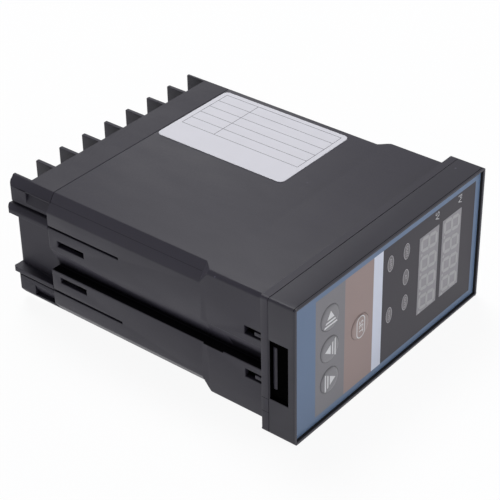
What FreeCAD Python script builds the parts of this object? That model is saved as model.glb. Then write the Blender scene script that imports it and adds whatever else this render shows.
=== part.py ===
import FreeCAD, Part
import math
import os

import Sketcher

# Panel temperature controller with a 48 x 96 mm front, lying on its right-hand side.
# X runs along the 96 mm side (+X is the top of the fitted controller), Z up is its
# left-hand side, and the front faces -Y.  The origin is the middle of the outline,
# on the surface that it rests on.  Depths are measured back from the front face.

SIZES = [
    # front frame
    ("front_width", 96.0, "front, along X"),
    ("front_height", 48.0, "front, along Z"),
    ("bezel_depth", 9.5, "front frame, front to back"),
    ("bezel_wall", 1.2, "side walls of the front frame"),
    ("bezel_corner", 1.0, "corner radius of the front outline"),
    ("rim_width", 0.9, "rim round the printed overlay"),
    ("rim_height", 0.9, "rim above the overlay"),
    ("overlay_thick", 0.5, "printed overlay"),
    ("plate_thick", 1.4, "plate behind the overlay"),
    ("seam_gap", 0.15, "seam between front frame and collar"),
    # case
    ("collar_thick", 2.65, "collar that meets the panel"),
    ("mouth_depth", 1.3, "shallow mouth in the collar's front, clear of the board's screws"),
    ("mouth_wall", 3.0, "collar left round that mouth"),
    ("case_width", 92.0, "case body, along X"),
    ("case_height", 44.5, "case body, along Z"),
    ("case_length", 85.4, "case body behind the collar"),
    ("case_wall", 1.8, "case wall"),
    ("bevel_across", 4.1, "long corner bevel, on the top face"),
    ("bevel_down", 5.3, "long corner bevel, on the side face"),
    ("bevel_start", 24.2, "bevel begins this far behind the collar"),
    ("bevel_run", 3.3, "length of the bevel's run-out"),
    ("nose_bevel", 1.2, "small corner bevel in front of the run-out"),
    ("channel_depth", 4.0, "side channel, deepest"),
    ("channel_half", 4.0, "side channel, half its height"),
    ("slit_length", 29.3, "slits beside the rear latch tongue"),
    ("slit_width", 0.7, "slits beside the rear latch tongue"),
    ("slit_spread", 11.8, "slits, from the middle plane"),
    ("slot_spread", 6.8, "rear latch windows, from the middle plane"),
    ("slot_height", 2.0, "rear latch windows"),
    ("slot_length", 11.0, "rear latch windows"),
    ("slot_inset", 3.7, "rear latch windows, from the case's rear edge"),
    ("hook_spread", 7.7, "front hook windows, from the middle plane"),
    ("hook_height", 2.8, "front hook windows"),
    ("hook_length", 6.3, "front hook windows"),
    ("hook_inset", 1.2, "front hook windows, behind the collar"),
    ("rib_height", 1.2, "board guide ribs inside the case"),
    ("rib_width", 1.0, "board guide ribs inside the case"),
    # lock in the front frame
    ("window_front", 2.6, "lock window, from the front face"),
    ("window_length", 6.6, "lock window, front to back"),
    ("window_low", 10.9, "lock window, below the middle plane"),
    ("window_high", 9.8, "lock window, above the middle plane"),
    ("tongue_front", 3.6, "lock tongue, from the front face"),
    ("tongue_half", 11.2, "lock tongue, half its height"),
    ("tongue_thick", 1.2, "lock tongue"),
    ("ridge_height", 0.35, "ridge on the lock tongue"),
    ("ridge_width", 1.6, "ridge on the lock tongue"),
    ("ridge_low", 7.9, "ridge, below the middle plane"),
    ("ridge_high", 7.0, "ridge, above the middle plane"),
    # rear terminals
    ("strip_length", 10.6, "terminal block behind the case"),
    ("fin_height", 7.4, "barriers behind the terminal floor"),
    ("fin_thick", 1.4, "barriers"),
    ("terminal_pitch", 10.4, "from one terminal to the next"),
    ("terminal_rows", 8, "terminals in one column"),
    ("column_pitch", 13.2, "from one column to the next"),
    ("end_inset", 1.8, "end strips of the block, inside the case's side face"),
    ("core_inset", 3.7, "end faces of the block, inside the case's side face"),
    ("lip_inner", 10.2, "lips on the block's ends, from the middle plane"),
    ("lip_thick", 3.0, "lips on the block's ends"),
    ("strip_gap", 0.8, "gap between lip and end strip"),
    ("recess_half", 2.0, "recess in the end strips, half its height"),
    ("recess_shift", 0.6, "recess, outwards from the strip's middle"),
    ("recess_depth", 1.8, "recess in the end strips, at its deepest"),
    ("recess_length", 10.5, "recess in the end strips"),
    ("spigot_length", 9.0, "part of the block inside the case"),
    ("spigot_gap", 0.2, "clearance round that part"),
    ("plate_across", 7.8, "contact plate, along X"),
    ("plate_up", 8.4, "contact plate, along Z"),
    ("contact_plate", 0.6, "contact plate"),
    ("blade_width", 1.6, "contact blade"),
    ("blade_thick", 0.5, "contact blade"),
    ("blade_offset", 2.9, "contact blade, beside the screw"),
    ("washer_side", 6.4, "square washer"),
    ("washer_thick", 0.5, "square washer"),
    ("screw_radius", 1.5, "terminal screw"),
    ("screw_length", 6.0, "terminal screw, under its head"),
    ("head_radius", 2.8, "screw head"),
    ("head_height", 1.9, "screw head"),
    ("thread_gap", 0.05, "clearance round a screw"),
    # keys
    ("key_radius", 4.25, "keys"),
    ("key_gap", 0.1, "clearance round a key"),
    ("key_rise", 0.4, "key above the overlay"),
    ("key_travel", 0.4, "how far a key goes in"),
    ("key_inset", 17.1, "arrow keys, from the front's near end"),
    ("key_pitch", 11.1, "from one arrow key to the next"),
    ("key_middle", 0.5, "middle arrow key, above the middle plane"),
    ("set_inset", 31.9, "set key, from the same end"),
    ("flange_radius", 5.2, "flange that keeps a key in"),
    ("flange_thick", 0.5, "flange"),
    ("stem_radius", 1.6, "stem behind the flange"),
    ("stem_length", 0.85, "stem behind the flange"),
    ("plunger_radius", 1.65, "switch plunger"),
    ("plunger_length", 1.5, "switch plunger"),
    ("plunger_out", 0.75, "switch plunger, standing out of the switch"),
    ("switch_side", 6.0, "key switch"),
    ("switch_height", 2.9, "key switch"),
    # displays and lamps
    ("display_low", 28.8, "set-value display, from the front's far end"),
    ("display_high", 16.4, "process-value display, from the same end"),
    ("display_across", 12.2, "display, along X"),
    ("display_up", 30.0, "display, along Z"),
    ("display_middle", 0.7, "displays, above the middle plane"),
    ("lamp_low", 49.1, "lower lamps, from the front's far end"),
    ("lamp_high", 40.8, "upper lamps, from the same end"),
    ("lamp_pitch", 9.25, "from one lamp to the next"),
    ("lamp_middle", 4.7, "middle lamp, above the middle plane"),
    ("lamp_across", 2.2, "lamp, along X"),
    ("lamp_up", 5.0, "lamp, along Z"),
    ("fit_gap", 0.15, "clearance round displays and lamps"),
    # boards
    ("board_thick", 1.6, "circuit boards"),
    ("board_half", 43.6, "long boards, half their width"),
    ("board_level", 14.6, "long boards, from the middle plane"),
    ("board_front", 12.0, "long boards, behind the front face"),
    ("front_board_inset", 5.4, "front board, from each end of the front"),
    ("front_board_up", 38.0, "front board, along Z"),
    ("option_half", 38.0, "middle board, half its width"),
    ("option_length", 40.0, "middle board"),
    ("header_width", 24.0, "board headers, along X"),
    ("header_side", 2.5, "board headers, in section"),
    ("boss_inset", 7.0, "board bosses, from each end of the front"),
    ("boss_spread", 13.0, "board bosses, from the middle plane"),
    ("boss_radius", 2.1, "board bosses"),
    ("pilot_radius", 0.9, "holes in the bosses"),
    ("arm_thick", 1.2, "side arms of the front frame"),
    ("arm_length", 7.0, "side arms, behind the front frame"),
    # label
    ("label_width", 35.5, "label, along X"),
    ("label_length", 51.3, "label, along Y"),
    ("label_middle", 22.05, "label's middle, along X"),
    ("label_inset", 0.6, "label, from the case's rear edge"),
    ("label_thick", 0.12, "label"),
    ("label_corner", 2.0, "corner radius of the label"),
]

# Parts that stand on the boards: size along X, Y and Z, then the middle of their
# footprint, across from the centre line and back from the board's front edge.
COMPONENTS = {
    "transformer": (20.0, 16.0, 15.0, -20.0, 20.0),
    "bulk_capacitor": (10.0, 10.0, 20.0, 2.0, 18.0),
    "film_capacitor": (18.0, 7.0, 12.0, 26.0, 10.0),
    "varistor": (10.0, 4.0, 10.0, 20.0, 24.0),
    "fuse": (8.0, 8.0, 8.0, 36.0, 25.0),
    "output_relay": (20.0, 10.0, 11.0, -22.0, 66.0),
    "alarm_relay_1": (15.0, 10.0, 10.5, -20.0, 66.0),
    "alarm_relay_2": (15.0, 10.0, 10.5, 4.0, 66.0),
    "microcontroller": (14.0, 14.0, 1.6, -8.0, 34.0),
    "input_amplifier": (10.0, 6.0, 2.2, 20.0, 52.0),
    "filter_capacitor_1": (6.0, 6.0, 8.0, -30.0, 24.0),
    "filter_capacitor_2": (6.0, 6.0, 8.0, 0.0, 34.0),
    "filter_capacitor_3": (6.0, 6.0, 8.0, 30.0, 24.0),
}
COMPONENT_SIZES = ("across", "deep", "tall", "along", "back")


class Length:
    """A number together with the sheet expression that gives it."""

    def __init__(self, value, text=None):
        self.value = float(value)
        self.text = text if text is not None else f"({float(value)!r})"

    def join(self, sign, other, value):
        return Length(value, f"({self.text} {sign} {other.text})")

    def __add__(self, other):
        other = length(other)
        return self.join("+", other, self.value + other.value)

    def __radd__(self, other):
        return length(other) + self

    def __sub__(self, other):
        other = length(other)
        return self.join("-", other, self.value - other.value)

    def __rsub__(self, other):
        return length(other) - self

    def __mul__(self, other):
        other = length(other)
        return self.join("*", other, self.value * other.value)

    def __rmul__(self, other):
        return length(other) * self

    def __truediv__(self, other):
        other = length(other)
        return self.join("/", other, self.value / other.value)

    def __neg__(self):
        return length(0) - self


def length(number):
    """A Length from a Length or a plain number."""
    return number if isinstance(number, Length) else Length(number)


class Sheet:
    """The driving dimensions, each a cell with an alias and a Length of that name."""

    def __init__(self, doc, rows):
        self.cells = doc.addObject("Spreadsheet::Sheet", "Sizes")
        for row, (name, value, note) in enumerate(rows, 1):
            self.cells.set(f"A{row}", name)
            self.cells.set(f"B{row}", str(value))
            self.cells.set(f"C{row}", note)
            self.cells.setAlias(f"B{row}", name)
            setattr(self, name, Length(value, f"Sizes.{name}"))


def component_rows():
    """Sheet rows for the components, five to each."""
    return [(f"{name}_{size}", value, f"{name}, {size}")
            for name, values in COMPONENTS.items()
            for size, value in zip(COMPONENT_SIZES, values)]


DOC = FreeCAD.newDocument("temperature_controller")
S = Sheet(DOC, SIZES + component_rows())
DOC.recompute()
NODES = []

# ---------------------------------------------------------------- shared places

OVERALL_DEPTH = (S.bezel_depth + S.seam_gap + S.collar_thick + S.case_length
                 + S.strip_length + S.fin_height)
FRONT = -(OVERALL_DEPTH / 2)
PLATE_FRONT = FRONT + S.rim_height + S.overlay_thick
PLATE_BACK = PLATE_FRONT + S.plate_thick
BEZEL_BACK = FRONT + S.bezel_depth
COLLAR_FRONT = BEZEL_BACK + S.seam_gap
SEAT = COLLAR_FRONT + S.collar_thick
CASE_BACK = SEAT + S.case_length
TERMINAL_FLOOR = CASE_BACK + S.strip_length
FIN_BACK = TERMINAL_FLOOR + S.fin_height
MIDDLE = S.front_height / 2
END = S.front_width / 2
KEY_ROW = S.key_inset - END
SET_ROW = S.set_inset - END
PV_ROW = END - S.display_high
SV_ROW = END - S.display_low
UPPER_LAMPS = END - S.lamp_high
LOWER_LAMPS = END - S.lamp_low
BOSS_ALONG = END - S.boss_inset
CASE_LOW = MIDDLE - S.case_height / 2
CASE_HIGH = MIDDLE + S.case_height / 2
SIDE = S.case_width / 2
KEY_BACK = PLATE_BACK + S.thread_gap + S.flange_thick
PLUNGER_FRONT = KEY_BACK + S.stem_length + S.thread_gap
SWITCH_FRONT = PLUNGER_FRONT + S.plunger_out
BOARD_FACE = SWITCH_FRONT + S.switch_height
BOARD_REAR = BOARD_FACE + S.board_thick
LONG_FRONT = FRONT + S.board_front
LONG_BACK = CASE_BACK - S.spigot_gap
OPTION_FRONT = LONG_BACK - S.option_length
POWER_TOP = MIDDLE - S.board_level + S.board_thick / 2
CONTROL_UNDER = MIDDLE + S.board_level - S.board_thick / 2
OPTION_TOP = MIDDLE
BLADE_GAP = S.thread_gap
COLUMNS = {"low": MIDDLE - S.column_pitch, "middle": MIDDLE, "high": MIDDLE + S.column_pitch}
FIRST_TERMINAL = -(S.terminal_pitch * (S.terminal_rows - 1) / 2)
BAY = S.terminal_pitch - S.fin_thick

# ---------------------------------------------------------------- drawing helpers

SKETCH_NORMAL = {"XY_Plane": 1, "XZ_Plane": -1, "YZ_Plane": 1}


def origin_item(body, role):
    """The body's own origin plane or axis of that role."""
    return next(item for item in body.Origin.OriginFeatures if item.Role == role)


def new_body(name):
    """A PartDesign body that becomes the node of that name."""
    body = DOC.addObject("PartDesign::Body", name)
    body.Label = name
    NODES.append(body)
    return body


def open_sketch(body, name, role, level):
    """An empty sketch on one of the body's origin planes, moved to a level along it."""
    sketch = body.newObject("Sketcher::SketchObject", name)
    sketch.AttachmentSupport = [(origin_item(body, role), "")]
    sketch.MapMode = "FlatFace"
    offset = length(level) * SKETCH_NORMAL[role]
    sketch.setExpression("AttachmentOffset.Base.z", offset.text)
    return sketch


def pin_point(sketch, edge, end, corner):
    """Ties one end of an edge to a place measured from the sketch's origin."""
    for kind, place in zip(("DistanceX", "DistanceY"), corner):
        index = sketch.addConstraint(Sketcher.Constraint(kind, -1, 1, edge, end, place.value))
        sketch.setExpression(f"Constraints[{index}]", place.text)


def outline(body, name, role, level, corners):
    """A closed straight-sided outline through corners, each a pair of Lengths."""
    sketch = open_sketch(body, name, role, level)
    points = [FreeCAD.Vector(length(x).value, length(y).value, 0) for x, y in corners]
    count = len(points)
    for index in range(count):
        sketch.addGeometry(Part.LineSegment(points[index], points[(index + 1) % count]))
    for index in range(count):
        sketch.addConstraint(Sketcher.Constraint("Coincident", index, 2, (index + 1) % count, 1))
        pin_point(sketch, index, 1, [length(place) for place in corners[index]])
    return sketch


def rectangle(body, name, role, level, across, up):
    """A rectangle from its two spans, each a (low, high) pair."""
    corners = [(across[0], up[0]), (across[1], up[0]), (across[1], up[1]), (across[0], up[1])]
    return outline(body, name, role, level, corners)


def polygon(body, name, role, level, centre, radius, sides=8):
    """An even-sided outline of a corner radius, with flats towards the axes."""
    turn = math.pi / sides
    corners = []
    for step in range(sides):
        angle = turn * (2 * step + 1)
        corners.append((centre[0] + radius * math.cos(angle), centre[1] + radius * math.sin(angle)))
    return outline(body, name, role, level, corners)


def feature(body, kind, name, sketch, depth, backwards):
    """A pad or pocket of a sketch, through a depth."""
    item = body.newObject(kind, name)
    item.Profile = sketch
    item.setExpression("Length", length(depth).text)
    item.Reversed = backwards
    body.Tip = item
    return item


def pad(body, name, sketch, depth):
    """Adds material from the sketch towards +X, +Y or +Z."""
    on_xz = sketch.AttachmentSupport[0][0].Role == "XZ_Plane"
    return feature(body, "PartDesign::Pad", name, sketch, depth, on_xz)


def pocket(body, name, sketch, depth):
    """Takes material from the sketch towards +X, +Y or +Z."""
    on_xz = sketch.AttachmentSupport[0][0].Role == "XZ_Plane"
    return feature(body, "PartDesign::Pocket", name, sketch, depth, not on_xz)


def repeat(body, name, originals, role, step, count, second=None):
    """Repeats features along an axis, and along a second one as (role, step, count)."""
    pattern = body.newObject("PartDesign::LinearPattern", name)
    pattern.Originals = originals
    pattern.Direction = (origin_item(body, role), [""])
    pattern.setExpression("Occurrences", length(count).text)
    pattern.setExpression("Length", (length(step) * (length(count) - 1)).text)
    if second:
        pattern.Direction2 = (origin_item(body, second[0]), [""])
        pattern.setExpression("Occurrences2", length(second[2]).text)
        pattern.setExpression("Length2", (length(second[1]) * (length(second[2]) - 1)).text)
    body.Tip = pattern
    return pattern


def mirror(body, name, originals, role):
    """Mirrors features about one of the body's origin planes."""
    copy = body.newObject("PartDesign::Mirrored", name)
    copy.Originals = originals
    copy.MirrorPlane = (origin_item(body, role), [""])
    body.Tip = copy
    return copy


def round_edges(body, name, radius, wanted):
    """Rounds the edges of the body's tip whose middle and direction are wanted."""
    DOC.recompute()
    base = body.Tip
    names = []
    for index, edge in enumerate(base.Shape.Edges, 1):
        if edge.Curve.TypeId == "Part::GeomLine" and wanted(edge.CenterOfMass, edge.tangentAt(0)):
            names.append(f"Edge{index}")
    item = body.newObject("PartDesign::Fillet", name)
    item.Base = (base, names)
    item.setExpression("Radius", length(radius).text)
    body.Tip = item
    return item


def block(name, across, deep, up):
    """A box from its three spans along X, Y and Z, each a (low, high) pair."""
    box = DOC.addObject("Part::Box", name)
    for span, size, axis in zip((across, deep, up), ("Length", "Width", "Height"), "xyz"):
        low, high = length(span[0]), length(span[1])
        box.setExpression(size, (high - low).text)
        box.setExpression(f"Placement.Base.{axis}", low.text)
    return box


def rod(name, centre, radius, deep):
    """A cylinder along Y about centre (X, Z), over a (front, back) span."""
    item = DOC.addObject("Part::Cylinder", name)
    item.Placement = FreeCAD.Placement(FreeCAD.Vector(), FreeCAD.Rotation(FreeCAD.Vector(1, 0, 0), -90))
    item.setExpression("Radius", length(radius).text)
    item.setExpression("Height", (length(deep[1]) - deep[0]).text)
    for axis, place in zip("xyz", (centre[0], deep[0], centre[1])):
        item.setExpression(f"Placement.Base.{axis}", length(place).text)
    return item


def prism(name, centre, radius, deep, sides=8):
    """A prism with flats along Y about centre (X, Z), over a (front, back) span."""
    item = DOC.addObject("Part::Prism", name)
    item.Polygon = sides
    spin = FreeCAD.Rotation(FreeCAD.Vector(0, 0, 1), 180 / sides)
    lay_down = FreeCAD.Rotation(FreeCAD.Vector(1, 0, 0), -90)
    item.Placement = FreeCAD.Placement(FreeCAD.Vector(), lay_down.multiply(spin))
    item.setExpression("Circumradius", length(radius).text)
    item.setExpression("Height", (length(deep[1]) - deep[0]).text)
    for axis, place in zip("xyz", (centre[0], deep[0], centre[1])):
        item.setExpression(f"Placement.Base.{axis}", length(place).text)
    return item


def post(name, centre, radius, up):
    """A cylinder along Z about centre (X, Y), over a (low, high) span."""
    item = DOC.addObject("Part::Cylinder", name)
    item.setExpression("Radius", length(radius).text)
    item.setExpression("Height", (length(up[1]) - up[0]).text)
    for axis, place in zip("xyz", (centre[0], centre[1], up[0])):
        item.setExpression(f"Placement.Base.{axis}", length(place).text)
    return item


def join(name, shapes):
    """One solid from several that touch or overlap."""
    item = DOC.addObject("Part::MultiFuse", name)
    item.Shapes = shapes
    item.Refine = True
    return item


def take(name, base, tools):
    """A solid less one or more tools."""
    tool = tools[0] if len(tools) == 1 else join(name + "_tools", tools)
    item = DOC.addObject("Part::Cut", name)
    item.Base = base
    item.Tool = tool
    return item


def node(item, name):
    """Marks an object as the node of that name."""
    item.Label = name
    NODES.append(item)
    return item


def both(value):
    """The span from -value to +value."""
    return (-length(value), length(value))


def about(centre, half):
    """The span of a half-width about a centre."""
    return (length(centre) - half, length(centre) + half)


# ---------------------------------------------------------------- case


def case_outline(across, down):
    """The case's outside: four corner bevels and a hooked channel along each side."""
    left = [
        (-SIDE + across, CASE_HIGH),
        (-SIDE, CASE_HIGH - down),
        (-SIDE, MIDDLE + S.channel_half),
        (-SIDE + S.channel_depth, MIDDLE - S.channel_half),
        (-SIDE, MIDDLE - S.channel_half),
        (-SIDE, CASE_LOW + down),
        (-SIDE + across, CASE_LOW),
    ]
    return left + [(-x, z) for x, z in reversed(left)]


def cavity_outline(gap):
    """The inside of the case, drawn in by a gap for what fits in it."""
    wall = S.case_wall + gap
    left = [
        (-SIDE + S.bevel_across + wall / 2, CASE_HIGH - wall),
        (-SIDE + wall, CASE_HIGH - S.bevel_down - wall / 3),
        (-SIDE + wall, MIDDLE + S.channel_half + wall / 4),
        (-SIDE + S.channel_depth + wall, MIDDLE - S.channel_half + wall / 4),
        (-SIDE + S.channel_depth + wall, MIDDLE - S.channel_half - wall),
        (-SIDE + wall, MIDDLE - S.channel_half - wall),
        (-SIDE + wall, CASE_LOW + S.bevel_down + wall / 3),
        (-SIDE + S.bevel_across + wall / 2, CASE_LOW + wall),
    ]
    return left + [(-x, z) for x, z in reversed(left)]


def make_case():
    """The moulded case: collar, bevelled shell, channels, latch tongues and guide ribs."""
    body = new_body("case")
    nose_back = SEAT + S.bevel_start - S.bevel_run
    shell_front = SEAT + S.bevel_start
    nose = outline(body, "nose_outline", "XZ_Plane", SEAT, case_outline(S.nose_bevel, S.nose_bevel))
    pad(body, "nose", nose, nose_back - SEAT)
    shell = outline(body, "shell_outline", "XZ_Plane", shell_front,
                    case_outline(S.bevel_across, S.bevel_down))
    pad(body, "shell", shell, CASE_BACK - shell_front)
    run_front = outline(body, "run_front", "XZ_Plane", nose_back,
                        case_outline(S.nose_bevel, S.nose_bevel))
    run_back = outline(body, "run_back", "XZ_Plane", shell_front,
                       case_outline(S.bevel_across, S.bevel_down))
    run = body.newObject("PartDesign::AdditiveLoft", "bevel_run_out")
    run.Profile = run_front
    run.Sections = [run_back]
    run.Ruled = True
    body.Tip = run
    collar = rectangle(body, "collar_outline", "XZ_Plane", COLLAR_FRONT, both(END),
                       (0, S.front_height))
    pad(body, "collar", collar, S.collar_thick)
    seat_line = SEAT.value - S.collar_thick.value / 2
    round_edges(body, "collar_corners", S.bezel_corner,
                lambda middle, way: abs(way.y) > 0.9 and abs(middle.y - seat_line) < 0.01)
    cavity = outline(body, "cavity_outline", "XZ_Plane", COLLAR_FRONT, cavity_outline(length(0)))
    pocket(body, "cavity", cavity, CASE_BACK - COLLAR_FRONT)
    mouth = rectangle(body, "mouth_outline", "XZ_Plane", COLLAR_FRONT, both(END - S.mouth_wall),
                      (S.mouth_wall, S.front_height - S.mouth_wall))
    pocket(body, "collar_mouth", mouth, S.mouth_depth)
    make_case_openings(body)
    make_guide_ribs(body)
    make_lock_tongue(body)


def make_case_openings(body):
    """Slits and windows of the rear latch tongue and the front hook windows, on both sides."""
    through = S.channel_depth + S.case_wall * 2
    cuts = []
    for side, start in (("left", -SIDE - S.case_wall), ("right", SIDE + S.case_wall - through)):
        for row, sign in (("high", 1), ("low", -1)):
            slit = rectangle(body, f"slit_{side}_{row}", "YZ_Plane", start,
                             (CASE_BACK - S.slit_length, CASE_BACK + S.slit_width),
                             about(MIDDLE + S.slit_spread * sign, S.slit_width / 2))
            slot = rectangle(body, f"slot_{side}_{row}", "YZ_Plane", start,
                             (CASE_BACK - S.slot_inset - S.slot_length, CASE_BACK - S.slot_inset),
                             about(MIDDLE + S.slot_spread * sign, S.slot_height / 2))
            hook = rectangle(body, f"hook_{side}_{row}", "YZ_Plane", start,
                             (SEAT + S.hook_inset, SEAT + S.hook_inset + S.hook_length),
                             about(MIDDLE + S.hook_spread * sign, S.hook_height / 2))
            cuts += [pocket(body, f"cut_{side}_{row}_{index}", profile, through)
                     for index, profile in enumerate((slit, slot, hook))]
    return cuts


def make_guide_ribs(body):
    """Pairs of ribs inside both side walls that carry the edges of the long boards."""
    wall = SIDE - S.case_wall
    rib_length = CASE_BACK - S.spigot_length - S.spigot_gap * 5 - SEAT
    for level, board in (("power", MIDDLE - S.board_level), ("control", MIDDLE + S.board_level)):
        for face, sign in (("under", -1), ("over", 1)):
            centre = board + (S.board_thick / 2 + S.fit_gap + S.rib_width / 2) * sign
            rib = rectangle(body, f"rib_{level}_{face}", "XZ_Plane", SEAT,
                            (-wall - S.case_wall / 2, -wall + S.rib_height),
                            about(centre, S.rib_width / 2))
            one = pad(body, f"guide_{level}_{face}", rib, rib_length)
            mirror(body, f"guide_{level}_{face}_pair", [one], "YZ_Plane")


def make_lock_tongue(body):
    """The springy tongue with its ridge that shows in the front frame's lock window."""
    face = -END + S.bezel_wall + S.ridge_height + S.thread_gap * 2
    tongue_front = FRONT + S.tongue_front
    tongue = rectangle(body, "tongue_outline", "YZ_Plane", face,
                       (tongue_front, COLLAR_FRONT + S.collar_thick / 2),
                       about(MIDDLE, S.tongue_half))
    pad(body, "lock_tongue", tongue, S.tongue_thick)
    ridge_back = FRONT + S.window_front + S.window_length - S.fit_gap
    ridge = outline(body, "ridge_outline", "XY_Plane", MIDDLE - S.ridge_low,
                    [(face, ridge_back - S.ridge_width),
                     (face + S.tongue_thick / 2, ridge_back - S.ridge_width),
                     (face + S.tongue_thick / 2, ridge_back),
                     (face, ridge_back),
                     (face - S.ridge_height, ridge_back - S.ridge_height),
                     (face - S.ridge_height, ridge_back - S.ridge_width + S.ridge_height)])
    pad(body, "lock_ridge", ridge, S.ridge_low + S.ridge_high)


# ---------------------------------------------------------------- terminal block


def block_outline():
    """The terminal block's section: bevels, end strips, lips and flat end faces."""
    strip = -SIDE + S.end_inset
    core = -SIDE + S.core_inset
    slope = S.bevel_down / S.bevel_across
    lip_out = MIDDLE + S.lip_inner + S.lip_thick
    upper = [
        (-SIDE + S.bevel_across, CASE_HIGH),
        (strip, CASE_HIGH - (S.bevel_across - S.end_inset) * slope),
        (strip, lip_out + S.strip_gap),
        (core, lip_out + S.strip_gap),
        (core, lip_out),
        (-SIDE + S.lip_thick / 2, lip_out),
        (-SIDE, lip_out - S.lip_thick / 2),
        (-SIDE, MIDDLE + S.lip_inner),
        (core, MIDDLE + S.lip_inner),
    ]
    left = upper + [(x, S.front_height - z) for x, z in reversed(upper)]
    return left + [(-x, z) for x, z in reversed(left)]


def make_terminal_block():
    """Terminal block: plug that fits the case, floor with screw holes, and barriers."""
    body = new_body("terminal_block")
    spigot = outline(body, "spigot_outline", "XZ_Plane", CASE_BACK - S.spigot_length,
                     cavity_outline(S.spigot_gap))
    pad(body, "spigot", spigot, S.spigot_length)
    profile = outline(body, "block_outline", "XZ_Plane", CASE_BACK, block_outline())
    pad(body, "block", profile, S.strip_length + S.fin_height)
    rear = FIN_BACK.value
    round_edges(body, "rear_edges", S.fin_thick,
                lambda middle, way: abs(middle.y - rear) < 0.01 and abs(way.z) > 0.9
                and abs(middle.x) > SIDE.value - S.core_inset.value - 0.1)
    bay = rectangle(body, "bay_outline", "XZ_Plane", TERMINAL_FLOOR,
                    about(FIRST_TERMINAL, BAY / 2), (CASE_LOW - 1, CASE_HIGH + 1))
    bay_cut = pocket(body, "bay", bay, S.fin_height)
    repeat(body, "bays", [bay_cut], "X_Axis", S.terminal_pitch, S.terminal_rows)
    hole_half = S.screw_radius + S.thread_gap * 2
    hole = rectangle(body, "hole_outline", "XZ_Plane", TERMINAL_FLOOR - S.screw_length,
                     about(FIRST_TERMINAL, hole_half), about(COLUMNS["low"], hole_half))
    hole_cut = pocket(body, "screw_hole", hole, S.screw_length)
    rows = (S.terminal_pitch, S.terminal_rows)
    repeat(body, "screw_holes", [hole_cut], "X_Axis", *rows, ("Z_Axis", S.column_pitch, 3))
    for column, level in COLUMNS.items():
        low, high = blade_span(column)
        channel = rectangle(body, f"channel_{column}", "XZ_Plane", CASE_BACK - S.spigot_length,
                            about(FIRST_TERMINAL + S.blade_offset, S.blade_width / 2), (low, high))
        channel_cut = pocket(body, f"channel_cut_{column}", channel,
                             S.spigot_length + S.strip_length)
        repeat(body, f"channels_{column}", [channel_cut], "X_Axis", *rows)
        make_board_slot(body, column)
    make_end_recesses(body)


def blade_span(column):
    """The levels between which a column's contact blades lie, just off their board's face."""
    faces = {"low": POWER_TOP + BLADE_GAP, "middle": OPTION_TOP + BLADE_GAP,
             "high": CONTROL_UNDER - BLADE_GAP - S.blade_thick}
    return faces[column], faces[column] + S.blade_thick


def board_span(column):
    """The two faces of the board that meets a column's contacts."""
    spans = {"low": (POWER_TOP - S.board_thick, POWER_TOP),
             "middle": (OPTION_TOP - S.board_thick, OPTION_TOP),
             "high": (CONTROL_UNDER, CONTROL_UNDER + S.board_thick)}
    return spans[column]


def make_board_slot(body, column):
    """The slot in the plug that takes a board's rear edge with room for the blades."""
    low, high = board_span(column)
    room = S.blade_thick * 2
    low_room, high_room = (room, S.fit_gap) if column == "high" else (S.fit_gap, room)
    half = (S.option_half if column == "middle" else S.board_half) + S.fit_gap
    slot = rectangle(body, f"board_slot_{column}", "XZ_Plane", CASE_BACK - S.spigot_length,
                     both(half), (low - low_room, high + high_room))
    pocket(body, f"board_slot_cut_{column}", slot, S.spigot_length - S.spigot_gap / 2)


def make_end_recesses(body):
    """Wedge-shaped recesses in the block's four end strips, deepest at their outer edges."""
    strip = -SIDE + S.end_inset
    strip_low = MIDDLE + S.lip_inner + S.lip_thick + S.strip_gap
    strip_high = CASE_HIGH - (S.bevel_across - S.end_inset) * (S.bevel_down / S.bevel_across)
    centre = (strip_low + strip_high) / 2 + S.recess_shift
    inner, outer = centre - S.recess_half, centre + S.recess_half
    wedge = [(strip, inner), (strip + S.recess_depth, outer), (strip - S.recess_depth, outer)]
    for row, corners in (("high", wedge), ("low", [(x, S.front_height - z) for x, z in wedge])):
        profile = outline(body, f"recess_outline_{row}", "XZ_Plane", CASE_BACK, corners)
        cut = pocket(body, f"recess_{row}", profile, S.recess_length)
        mirror(body, f"recess_pair_{row}", [cut], "YZ_Plane")


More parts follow.
